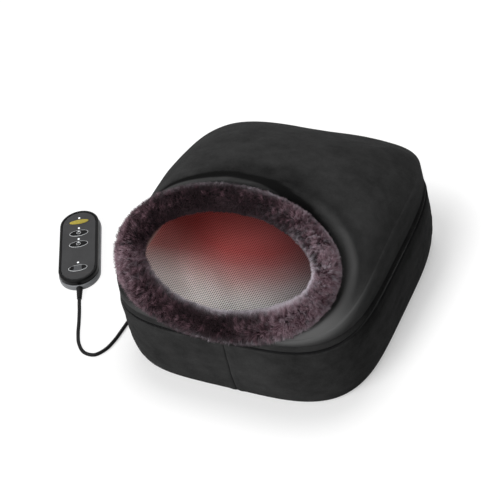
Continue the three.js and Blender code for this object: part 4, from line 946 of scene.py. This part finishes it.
core_share, core_spin = np.meshgrid(np.arange(220) / 220, np.arange(40) / 40, indexing="ij")
core_points = collar_point(core_share, core_spin, CORE)
core_points += (core_points - collar_line(core_share)) / CORE * (ripple(core_points, 24, 6) * 0.7)[..., None]
core = carried("collar_core", core_points[:, ::-1], True)
finish_piece(core, "hood", "plum_fur", ["fur_collar"], "fur_core")


def collar_length(share):
    """Millimetres along the collar line for each share of a turn, at a place on it."""
    a = np.asarray(share) * TURN
    return np.hypot(COLLAR_WIDE * np.sin(a), COLLAR_HIGH * np.cos(a)) * TURN


def swing(share, middle, width):
    """A bell round a place on the collar's turn."""
    gap = np.mod(share - middle + 0.5, 1) - 0.5
    return np.exp(-((gap / width) ** 2))


def swings(share, level, *bells):
    """A level with bells added to it, each of a height, a middle and a width."""
    return sum((height * swing(share, middle, width) for height, middle, width in bells), level)


# place of the collar's joining seam on its turn
SEAM_PLACE = 0.663


def tuft_lengths(share, spin, here, rng):
    """The pile is longest round the front, where it spreads over the hood's hem, and parts along the collar's
    joining seam. share and spin are the tufts' places on the collar and round its tube, and here the same
    places as points."""
    upward, outside = np.sin(spin * TURN), np.cos(spin * TURN)
    shown = ease(upward, -0.75, 0.1)
    full = swings(share, 1.3, (5.2, 0.60, 0.13), (2.0, 0.40, 0.14), (1.2, 0.98, 0.12))
    full = swings(share, full, (4.2, 0.81, 0.06), (3.4, 0.885, 0.045))
    length = 4.6 + full * shown * (0.55 + 0.45 * np.abs(outside)) + 0.6 * ripple(here, 17, 12)
    length = np.clip(length + rng.normal(0, 0.45, share.size), 3.0, 12.5)
    return length * (1 - 0.4 * swing(share, SEAM_PLACE, 0.0035))


def tuft_tones(share, spin, here, rng):
    """From 0, dark, to 1, pale: painted shade darkens the tufts along the top inside and the front, and painted
    light makes them paler at the right and along the outer rim; over this the tone differs at random."""
    outside = np.cos(spin * TURN)
    # painted light and shade by place round the collar, with painted shade on the inside near the top and the
    # right
    painted_shading = swings(share, 0.0, (0.74, 0.01, 0.11), (0.05, 0.14, 0.07), (0.46, 0.54, 0.05), (0.34, 0.88, 0.05))
    painted_shading = swings(share, painted_shading, (-0.54, 0.77, 0.08), (-0.54, 0.29, 0.11))
    painted_shading = painted_shading - 0.55 * swing(share, 0.25, 0.21) * ease(-outside, -0.15, 0.7)
    painted_shading = painted_shading - 0.55 * swing(share, 0.07, 0.08) * ease(-outside, -0.2, 0.5)
    patchy = 0.18 * ripple(here, 20, 31) + 0.30 * ripple(here, 7, 32)
    patchy *= 1 + 0.6 * swing(share, 0.02, 0.14)
    tone = 0.47 + painted_shading + patchy + rng.normal(0, 0.13, share.size)
    return np.clip(tone - 0.3 * swing(share, SEAM_PLACE, 0.004), 0, 1)


def tuft_whites(share, spin, here, rng):
    """How nearly white each tuft is: the backing shows along the inner edge from the lower left to the right, a
    painted highlight runs along the outer rim, and painted light turns tips pale in patches, most of all at the
    right."""
    round_front = np.clip(swings(share, 0.0, (1, 0.71, 0.11), (1, 0.84, 0.09), (0.7, 0.98, 0.10)), 0, 1)
    wander = 0.05 * np.cos(share * TURN)
    inner = hump(np.mod(spin, 1.0), 0.475 - wander, 0.065) * round_front
    # painted highlight along the outer rim, strongest round the right and the front right
    rim = hump(np.mod(spin + 0.5, 1.0), 0.53 - wander, 0.06)
    rim *= np.clip(0.62 + 0.5 * ripple(here, 5, 34), 0.1, 1.3)
    rim *= np.clip(swings(share, 0.15, (0.85, 0.14, 0.22), (0.7, 0.86, 0.14)), 0, 1)
    # painted light: pale tips in patches at the right, the front right and the left
    painted_tip_light = np.clip(ripple(here, 6, 33), 0, 1)
    painted_tip_light *= swings(share, 0.0, (0.62, 0.03, 0.11), (0.28, 0.88, 0.05), (0.3, 0.56, 0.06))
    return np.clip(inner * 1.1 + rim * 0.45 + painted_tip_light + rng.normal(0, 0.2, share.size) * (inner + rim), 0, 1)


# a hair has three points at its root, three at its bend and one at its tip, this far along it
HAIR_WAY = np.array([0, 0, 0, 0.6, 0.6, 0.6, 1.0])


def hair_mesh(name, root, bend, tip, rng):
    """Three-sided tapers that run from their root over one bend to their tip, all three (count, 3) points."""
    count = len(root)
    run = tip - root
    side = unit(np.cross(run, rng.normal(size=(count, 3))))
    other = unit(np.cross(run, side))
    turns = (np.arange(3) / 3 * TURN)[None, :, None]
    spokes = side[:, None] * np.cos(turns) + other[:, None] * np.sin(turns)
    width = rng.uniform(0.2, 0.34, count)[:, None, None]
    points = [root[:, None] + spokes * width, bend[:, None] + spokes * width * 0.75, tip[:, None]]
    base = np.arange(count)[:, None, None] * len(HAIR_WAY)
    k = np.arange(3)
    after = (k + 1) % 3
    low = np.stack([k, after, after + 3, k + 3], -1)
    high = np.stack([k + 3, after + 3, np.full(3, 6)], -1)
    faces = [(base + low).reshape(-1, 4), (base + high).reshape(-1, 3)]
    return make_mesh(name, np.concatenate(points, 1), faces)


def make_fur(name, start, end, tufts_round, tufts_along, hairs, seed):
    """Hairs on a stretch of the collar, from start to end of its turn. Each tuft has a place, a lean and a
    length; its hairs start round that place, bend with the lean and draw a little together at their tips."""
    rng = np.random.default_rng(seed)
    i, j = np.meshgrid(np.arange(tufts_along), np.arange(tufts_round), indexing="ij")
    i, j = i.ravel(), j.ravel()
    share_step, spin_step = (end - start) / tufts_along, 1 / tufts_round
    share = start + (i + 0.5 + rng.uniform(-0.5, 0.5, i.size)) * share_step
    spin = (j + 0.5 * (i % 2) + rng.uniform(-0.5, 0.5, i.size)) * spin_step
    here = collar_point(share, spin, PILE)
    # lean along the loop and round the tube, from slow waves, so that neighbouring tufts flow together
    lean_share = (ripple(here, 34, 150) * 2.2 + rng.normal(0, 1.3, i.size)) / collar_length(share)
    lean_spin = (ripple(here, 30, 77) * 2.4 + rng.normal(0, 1.3, i.size)) / (PILE * TURN)
    length = tuft_lengths(share, spin, here, rng)
    tone = tuft_tones(share, spin, here, rng)
    white = tuft_whites(share, spin, here, rng)

    def each(values):
        """A tuft's value for each of its hairs."""
        return np.repeat(values, hairs)

    count = i.size * hairs
    own = rng.uniform(0, 1, count)
    root_share = each(share) + rng.normal(0, 0.5, count) * share_step
    root_spin = each(spin) + rng.normal(0, 0.5, count) * spin_step
    pull = rng.uniform(0.0, 0.55, count)
    tip_share = root_share + (each(share) - root_share) * pull + each(lean_share) + rng.normal(0, 0.0012, count)
    tip_spin = root_spin + (each(spin) - root_spin) * pull + each(lean_spin) + rng.normal(0, 0.010, count)
    reach = each(length) * rng.uniform(0.74, 1.06, count)
    root = collar_point(root_share, root_spin, ROOTS)
    bend_share, bend_spin = root_share * 0.6 + tip_share * 0.4, root_spin * 0.6 + tip_spin * 0.4
    bend = collar_point(bend_share, bend_spin, ROOTS + reach * 0.6)
    tip = collar_point(tip_share, tip_spin, ROOTS + reach)
    made = hair_mesh(name, root, bend, tip, rng)
    hair = np.empty((count, len(HAIR_WAY), 4), dtype=np.float32)
    hair[..., 0] = HAIR_WAY
    hair[..., 1] = each(tone)[:, None]
    hair[..., 2] = own[:, None]
    hair[..., 3] = 1
    made.data.attributes.new("hair", "FLOAT_COLOR", "POINT").data.foreach_set("color", hair.ravel())
    at_points(made, "pale", np.repeat(each(white), len(HAIR_WAY)))
    return made


FUR_PIECES = 6
for number in range(FUR_PIECES):
    start, end = number / FUR_PIECES, (number + 1) / FUR_PIECES
    fur = make_fur(
        f"collar_fur_{number + 1}", start, end, tufts_round=40, tufts_along=58, hairs=9, seed=100 + number
    )
    finish_piece(fur, "hood", "plum_fur")


# Base: two bands, bottom cloth, foam and mesh

front_seam, back_seam = share_where(12, True), share_where(0, False)


def span_shares(start, end, count):
    """Shares of a turn at even steps from start to end, which may run past a whole turn, and their lengths."""
    a, b = [np.interp(s % 1, fine_share, fine_length) + np.floor(s) * ROUND for s in (start, end)]
    along = np.linspace(a, b, count)
    return np.interp(along % ROUND, fine_length, fine_share), along


def band(name, start, end, node):
    """Half of the base's wall: its section runs up the outside from the tucked lower edge, over a rolled top
    edge and down the inside. Near the seams the cloth is drawn in, with short puckers across the seam."""
    shares, length = span_shares(start, end, 300)
    shares, gap = shares[:, None], np.minimum(length - length[0], length[-1] - length)[:, None]
    foot, roll_start = 3.3, 90.2
    z_out = foot + (roll_start - foot) * np.linspace(0, 1, 34) ** 1.25
    z = np.concatenate([z_out, [91.6, 92.6, 93.2, 93.3, 93.3, 92.6, 88, 60, 30, foot]])[None]
    inset_top = [0.25, 0.8, 1.5, 2.2, 2.8, 3, 3, 3, tuck(30) + 3, tuck(foot) + 3]
    inset = np.concatenate([tuck(z_out), inset_top])[None]
    points = outline(shares, inset, z)
    # only the outside, up to the second point of the rolled edge, takes the folds
    shown = (np.arange(z.size) < len(z_out) + 2)[None]
    high = np.clip(z / 90, 0, 1)
    drawn = -0.9 * hump(gap, 0, 1.6) + 0.5 * hump(gap, 6, 4)
    pucker = 0.3 * np.sin(z / 5.2) * hump(gap, 4, 5)
    swell = 0.6 * np.sin(np.pi * high) ** 1.5
    soft = ripple(points, 80, 15) * 0.8 + ripple(points * (1, 1, 2.2), 34, 16) * 0.3
    soft = soft * ease(gap, 0, 12) * np.sin(np.pi * np.clip(high, 0.02, 0.98))
    move = (drawn + pucker + swell + soft) * shown
    away = unit(outline(shares, 0.0) - outline(shares, 1.0))
    made = carried(name, points + away * move[..., None], False)
    finish_piece(made, "base", "black_velour", [node])
    # painted shade darkens the right side a little, most of all near its top
    side = ease(points[..., 0], 60, 150) * ease(points[..., 1], -150, -100)
    nap = -0.10 * ease(points[..., 0], 40, 150) * (0.6 + 0.8 * high)
    brush_nap(made, nap - 0.42 * side * ease(high, 0.74, 0.94))


SEAM_GAP = 0.15 / ROUND
band("side_band_right", front_seam + SEAM_GAP, back_seam + 1 - SEAM_GAP, "band_right")
band("side_band_left", back_seam + SEAM_GAP, front_seam - SEAM_GAP, "band_left")

ring_shares = even_shares(260)


def layered(name, levels):
    """A flat or crowned piece that fills the outline: levels are (inset, height, share of size) rings from the
    middle of its underside to the middle of its top, where height may be a function of the place."""
    rings = []
    for inset, height, size in levels:
        ring = outline(ring_shares, inset, 0.0, size)
        ring[:, 2] = height(ring[:, 0], ring[:, 1]) if callable(height) else height
        rings.append(ring)
    return stack(name, np.array(rings))


cover_levels = [(8.6, 0.0, 0.02), (8.6, 0.0, 0.5), (8.6, 0.0, 0.985), (8.1, 0.2, 1), (7.6, 1.0, 1)]
cover_levels += [(7.5, 2.0, 1), (7.8, 2.9, 1), (9, 3.0, 1), (9, 3.0, 0.5), (9, 3.0, 0.02)]
bottom = finish_piece(layered("bottom_cloth", cover_levels), "base", "grip_cloth", ["bottom_cover"])

MESH_LOW, MESH_IN = 93.6, 4.7


def crowned(lift):
    """Height of the mesh, lift above its underside, at any place."""
    return lambda x, y: MESH_LOW + lift + crown(x, y)


sizes = np.linspace(0.03, 0.985, 34)
mesh_levels = [(MESH_IN, crowned(0), size) for size in sizes]
mesh_levels += [(MESH_IN, crowned(0.4), 1), (MESH_IN, crowned(1.4), 1)]
mesh_levels += [(MESH_IN, crowned(2), size) for size in sizes[::-1]]
mesh_cover = finish_piece(layered("woven_mesh_cover", mesh_levels), "base", "pale_mesh", ["mesh_panel"])


def soft_foam(name, node, size):
    """A foam block from its CAD solid: the same shape with its doubled points merged, and soft cut edges."""
    made = bpy.data.objects.new(name, node_of[node].data.copy())
    scene.collection.objects.link(made)
    weld = made.modifiers.new("weld", "WELD")
    weld.merge_threshold = 0.00002
    bevel = made.modifiers.new("soft edge", "BEVEL")
    bevel.width, bevel.segments, bevel.limit_method, bevel.angle_limit = size, 2, "ANGLE", np.radians(40)
    finish_piece(made, "base", "padding_foam", [node])


soft_foam("foam_frame", "foam_surround", 0.0012)
soft_foam("foam_top_pad", "foam_pad", 0.001)

# Zip: tapes, coil teeth, slider and pull

# sections of the tapes, as insets and heights: the upper one turns up behind the gusset, so that nothing
# inside shows through
UPPER_TAPE = [(4.7, 95.1), (2.5, 95.1), (2.15, 95.5), (2.1, 96), (2.15, 96.5), (2.5, 96.7), (4.1, 96.8)]
UPPER_TAPE += [(4.35, 99.4), (4.7, 99.4)]
LOWER_TAPE = [(4.5, 93.35), (2.5, 93.35), (2.15, 93.6), (2.1, 94.2), (2.15, 94.8), (2.5, 95.0), (4.5, 95.0)]
for name, node, edge, body in (
    ("zip_tape_of_hood", "zip_tape_upper", UPPER_TAPE, "hood"),
    ("zip_tape_of_base", "zip_tape_lower", LOWER_TAPE, "base"),
):
    inset, z = np.array(edge).T
    tape = carried(name, outline(ring_shares[:, None], inset[None], z[None])[:, ::-1], True)
    finish_piece(tape, body, "black_zip", [node])


def teeth(name, z_low, z_high, offset, body):
    """Coil teeth every 2.2 mm along the tape: each is a short upright bar with chamfered ends."""
    pitch = 2.2
    count = int(ROUND / pitch)
    shares = np.interp((np.arange(count) + offset) / count * ROUND, fine_length, fine_share)
    near = outline(shares, 2.0)
    out = unit(outline(shares, 1.2) - near)
    side = np.stack([-out[:, 1], out[:, 0], np.zeros(count)], -1)
    z = np.array([z_low, z_low + 0.25, z_high - 0.25, z_high])
    wide = np.array([0.35, 0.62, 0.62, 0.35])
    deep = np.array([0.3, 0.75, 0.75, 0.3])
    corner = np.array([(-1, 0), (1, 0), (1, 1), (-1, 1)])
    points = near[:, None, None] + side[:, None, None] * (wide[:, None] * corner[:, 0])[None, ..., None]
    points = points + out[:, None, None] * (deep[:, None] * corner[:, 1])[None, ..., None]
    points[..., 2] = z[None, :, None]
    base = (np.arange(count) * 16)[:, None, None]
    faces = np.concatenate([quads(4, 4), [[3, 2, 1, 0]], [[12, 13, 14, 15]]])
    made = make_mesh(name, points, [(base + faces[None]).reshape(-1, 4)], False)
    finish_piece(made, body, "zip_metal")


teeth("teeth_of_hood", 95.32, 96.5, 0.0, "hood")
teeth("teeth_of_base", 93.8, 94.98, 0.5, "base")

# the slider's place at rest, on the left side, which slants by this tangent
SLIDE_Y, ZIP_SLANT = 62, 0.036282
SLIDE = np.array([-HALF_WIDTH + 0.0363 * SLIDE_Y, SLIDE_Y, 95.15])


def on_zip(points):
    """Points of the slider's own frame, +Y along the zip, in the part's frame."""
    return placed(points, -np.arctan(ZIP_SLANT), SLIDE)


def rounded_rectangle(width, height, radius):
    """A rectangle round the origin whose corners are quarter circles, as (n, 2) points."""
    a = np.linspace(0, np.pi / 2, 6)
    corners = []
    for k, (sx, sy) in enumerate(((1, 1), (-1, 1), (-1, -1), (1, -1))):
        turn = a + k * np.pi / 2
        middle = np.array([sx * (width / 2 - radius), sy * (height / 2 - radius)])
        corners.append(middle + radius * np.stack([np.cos(turn), np.sin(turn)], -1))
    return np.concatenate(corners)


def moulded(shape, *levels):
    """Rings of a moulded piece: shape, a flat ring of points in Y and Z, shrunk by each level's share and set
    at its place along X."""
    return np.array([np.hstack([np.full((len(shape), 1), float(x)), shape * share]) for share, x in levels])


slider_rings = moulded(
    rounded_rectangle(10.6, 6.6, 2.2), (0.8, -3.9), (0.95, -3.6), (1, -3), (1, -0.9), (0.9, -0.35)
)
lug_rings = moulded(rounded_rectangle(1.9, 3.1, 0.7), (0.7, -7.0), (1, -6.6), (1, -3.7), (1, -3.2))
lug_rings += (0, 0, 1.9)


def merged(name, *pieces):
    """One mesh from several closed stacks of rings."""
    made = [stack(name + str(k), rings) for k, rings in enumerate(pieces)]
    with bpy.context.temp_override(active_object=made[0], selected_editable_objects=made):
        bpy.ops.object.join()
    made[0].name = name
    return made[0]


slider = merged("zip_slider_body", on_zip(slider_rings), on_zip(lug_rings))
finish_piece(slider, "slider", "zip_metal", ["zip_slider"])

# Handset

END_RADIUS, HALF_STRAIGHT = 29.5, 45.5


def flat_rings(levels):
    """Rings in the part's frame from pairs of a flat ring of points on the handset and its height."""
    return on_handset(np.array([np.column_stack([ring, np.full(len(ring), z)]) for ring, z in levels]))


def loft(insets, heights):
    """Rings of the handset's outline, 150 by 59 mm with round ends, moved in by each inset and set at its
    height."""
    a = (np.arange(96) + 0.5) / 96 * TURN
    way = np.stack([np.cos(a), np.sin(a)], -1)
    ends = np.sign(way) * (0, HALF_STRAIGHT)
    return flat_rings([(way * (END_RADIUS - inset) + ends, z) for inset, z in zip(insets, heights)])


shell_in = [12, 4, 2.2, 1.1, 0.35, 0.0, 0.0, 0.25, 0.9, 1.6, 3.1, 3.3, 3.3, 12]
shell_up = [0, 0, 0.25, 0.9, 2.0, 3.6, 8.2, 9.2, 9.9, 10.0, 10.0, 9.0, 2.2, 2.2]
back_shell = stack("handset_back", loft(shell_in, shell_up))
finish_piece(back_shell, "base", "grey_shell", ["handset_back_shell"])

rim_in = [7.1, 1.6, 1.3, 1.3, 1.45, 1.9, 2.7, 3.6, 4.6, 5.2, 5.3, 5.3, 7.1]
rim_up = [10.3, 10.3, 10.6, 15.6, 17.0, 18.0, 18.55, 18.6, 18.5, 18.1, 17.6, 15.2, 15.2]
rim = carried("handset_bezel", loft(rim_in, rim_up).transpose(1, 0, 2)[:, ::-1], True)
finish_piece(rim, "base", "black_trim", ["handset_rim"])


def ellipse(width, depth, y):
    """A ring of points round a place along the handset's middle line."""
    return circle(1, 72) * (width / 2, depth / 2) + (0, y)


def key(name, slot, width, depth, y):
    """An oval key cap: a flange under the face and a crowned top that stands 0.9 mm above it."""
    top, flange = 18.9, 12.2
    levels = [(ellipse(0.8, 0.4, y), flange)]
    for grow, z in (
        (2.8, flange), (2.8, 13.6), (0.0, 13.7), (0.0, top - 0.7), (-0.15, top - 0.3), (-0.7, top - 0.05)
    ):
        levels.append((ellipse(width + grow, depth + grow, y), z))
    levels += [(ellipse(width * s, depth * s, y), top + 0.02) for s in (0.8, 0.55, 0.3, 0.08)]
    made = stack(f"{name}_key", flat_rings(levels))
    finish_piece(made, f"{name}_button_cap", slot, [f"{name}_button"])


PROGRAM_Y, HEAT_Y, TIMER_Y = 25.65, 2.55, -46.8
key("power", "yellow_key", 28, 8.4, 49.5)
key("program", "black_key", 25, 10.4, PROGRAM_Y)
key("heat", "black_key", 25, 10.4, HEAT_Y)
key("timer", "grey_key", 25, 10.4, TIMER_Y)


def printed(name, line, width, z, body, material, closed=True):
    """A thin raised line, width wide, drawn along flat points on the handset at height z."""
    ahead = unit(np.roll(line, -1, 0) - np.roll(line, 1, 0) if closed else np.gradient(line, axis=0))
    aside = np.stack([-ahead[:, 1], ahead[:, 0]], -1)
    section = [(-0.5, -0.12), (-0.5, 0.0), (-0.3, 0.1), (0.3, 0.1), (0.5, 0.0), (0.5, -0.12)]
    rings = flat_rings([(line + aside * s * width, z + h) for s, h in section]).transpose(1, 0, 2)
    made = carried(name, rings[:, ::-1], closed)
    finish_piece(made, body, "grey_face", (), material)


def raised_mark(name, shape, middle, levels, body, slot, material):
    """A thin flat mark on a key: shape shrunk towards its middle by each level's share, at its height."""
    made = stack(name, flat_rings([((shape - middle) * share + middle, z) for share, z in levels]))
    finish_piece(made, body, slot, (), material)


DOT_LEVELS = ((0.1, 18.85), (1, 18.85), (1, 19.02), (0.85, 19.08), (0.1, 19.1))
LOBE_LEVELS = ((0.1, 18.85), (1, 18.85), (1, 18.97), (0.96, 19.0), (0.1, 19.0))
for word, y in (("program", PROGRAM_Y), ("heat", HEAT_Y), ("timer", TIMER_Y)):
    printed(f"{word}_outline", ellipse(26.3, 11.7, y), 1.0, 18.08, "base", "printed_line")
    if word != "timer":
        cap = f"{word}_button_cap"
        printed(f"{word}_ring", ellipse(5.6, 5.0, y - 0.3), 0.7, 18.95, cap, "printed_line")
        dot = circle(1.7, 24) + (0.2, y + 2.4)
        raised_mark(f"{word}_dot", dot, dot.mean(0), DOT_LEVELS, cap, "black_key", "printed_line")
for word, side in (("left", -1), ("right", 1)):
    # black lobes at both ends of the timer key: the part of its oval outside a bowed line
    a = np.linspace(-1.05, 1.05, 30) + (np.pi if side < 0 else 0)
    outer = np.stack([12.3 * np.cos(a), TIMER_Y + 5.0 * np.sin(a)], -1)
    back = outer[::-1, 1]
    inner = np.stack([side * 6.6 - side * 1.2 * (1 - ((back - TIMER_Y) / 4.4) ** 2), back], -1)
    lobe, middle = np.concatenate([outer, inner]), np.array([side * 8.8, TIMER_Y])
    raised_mark(f"timer_lobe_{word}", lobe, middle, LOBE_LEVELS, "timer_button_cap", "grey_key", "black_key")
# two bowed lines across the face, each a stretch of a cosine
bow = np.linspace(-1, 1, 60)
for name, wide, y, rise, bend, width in (
    ("upper_line", 23.3, 53.6, -9.4, 1.35, 0.7),
    ("lower_line", 23.3 * 0.94, -61.3, 3.6, 1.9, 0.6),
):
    line = np.stack([bow * wide, y + rise * np.cos(bow * bend)], -1)
    printed(name, line, width, 18.03, "base", "printed_dark", closed=False)

# Every CAD node that still shows takes its slot's finish

replaced = {node for piece in scene.objects for node in piece.get("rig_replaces", [])}
for part in frame["record"]["subparts"]:
    if part["node"] not in replaced:
        data = node_of[part["node"]].data
        data.materials.clear()
        data.materials.append(finishes[part["material_slot"]])

# Floor, lights and world


def light_path(finish, *rays):
    """1 for a ray of any of these kinds, which are outputs of Light Path."""
    total = finish.node("LightPath", {}, {}, rays[0])
    outputs = total.socket.node.outputs
    for ray in rays[1:]:
        total = total.math("MAXIMUM", Field(finish, outputs[ray]))
    return total


SEEN = ("Is Camera Ray", "Is Glossy Ray", "Is Transmission Ray")
far = 9e3
ground_corners = [(-far, -far, 0), (far, -far, 0), (far, far, 0), (-far, far, 0)]
ground = make_mesh("ground", ground_corners, [np.array([[0, 1, 2, 3]])])
pale = Finish("pale_floor", roughness=0.9, specular_ior_level=0.0)
grain = pale.noise(3, 2)
seen = light_path(pale, *SEEN)
unseen = pale.mix(grain, (0.34, 0.34, 0.34), (0.38, 0.38, 0.38))
pale.set("Base Color", pale.mix(seen, unseen, (0.97, 0.97, 0.97)))
glow = pale.node("Emission", {}, {"Color": (1.0, 1.0, 1.0, 1.0), "Strength": 1.15})
lit = Field(pale, pale.shader.outputs[0])
# the shadow is kept near the body and clears to white over the next 50 mm: the fourth root of the sum of
# fourth powers of x/176 and y/194 is 1 at the outline
x, y, z = pale.axes()
across, along = x * (1 / 0.176), y * (1 / 0.194)
across, along = across * across, along * along
out = (across * across + along * along) ** 0.25
blend = pale.node("MixShader", {}, {0: seen * pale.span(out, 1.04, 1.32, 0.34, 0.78), 1: lit, 2: glow})
pale.tree.links.new(blend.socket, pale.tree.nodes["Material Output"].inputs["Surface"])
ground.data.materials.append(pale.material)


def sun(name, azimuth, elevation, strength, spread):
    """A soft distant lamp that shines from azimuth, counted from -Y towards +X, and elevation."""
    lamp = bpy.data.objects.new(name, bpy.data.lights.new(name, "SUN"))
    scene.collection.objects.link(lamp)
    lamp.matrix_world = Matrix(np.array(spherical_axes(azimuth, elevation, 0)).T).to_4x4()
    lamp.data.energy, lamp.data.angle = strength, np.radians(spread)


sun("key", azimuth=-18, elevation=35, strength=2.35, spread=42)
sun("back", azimuth=-160, elevation=62, strength=0.9, spread=35)

world = bpy.data.worlds.new("studio")
scene.world = world
world.use_nodes = True


class WorldTree(Finish):
    """The world's own node tree, built with the same calls."""

    def __init__(self):
        self.tree = world.node_tree


air = WorldTree()
soft = air.tree.nodes["Background"]
soft.inputs["Color"].default_value, soft.inputs["Strength"].default_value = (1, 1, 1, 1), 0.28
white = air.node("Background", {}, {"Color": (1.0, 1.0, 1.0, 1.0), "Strength": 1.0})
sky = air.node("MixShader", {}, {0: light_path(air, *SEEN), 1: Field(air, soft.outputs[0]), 2: white})
air.tree.links.new(sky.socket, air.tree.nodes["World Output"].inputs["Surface"])
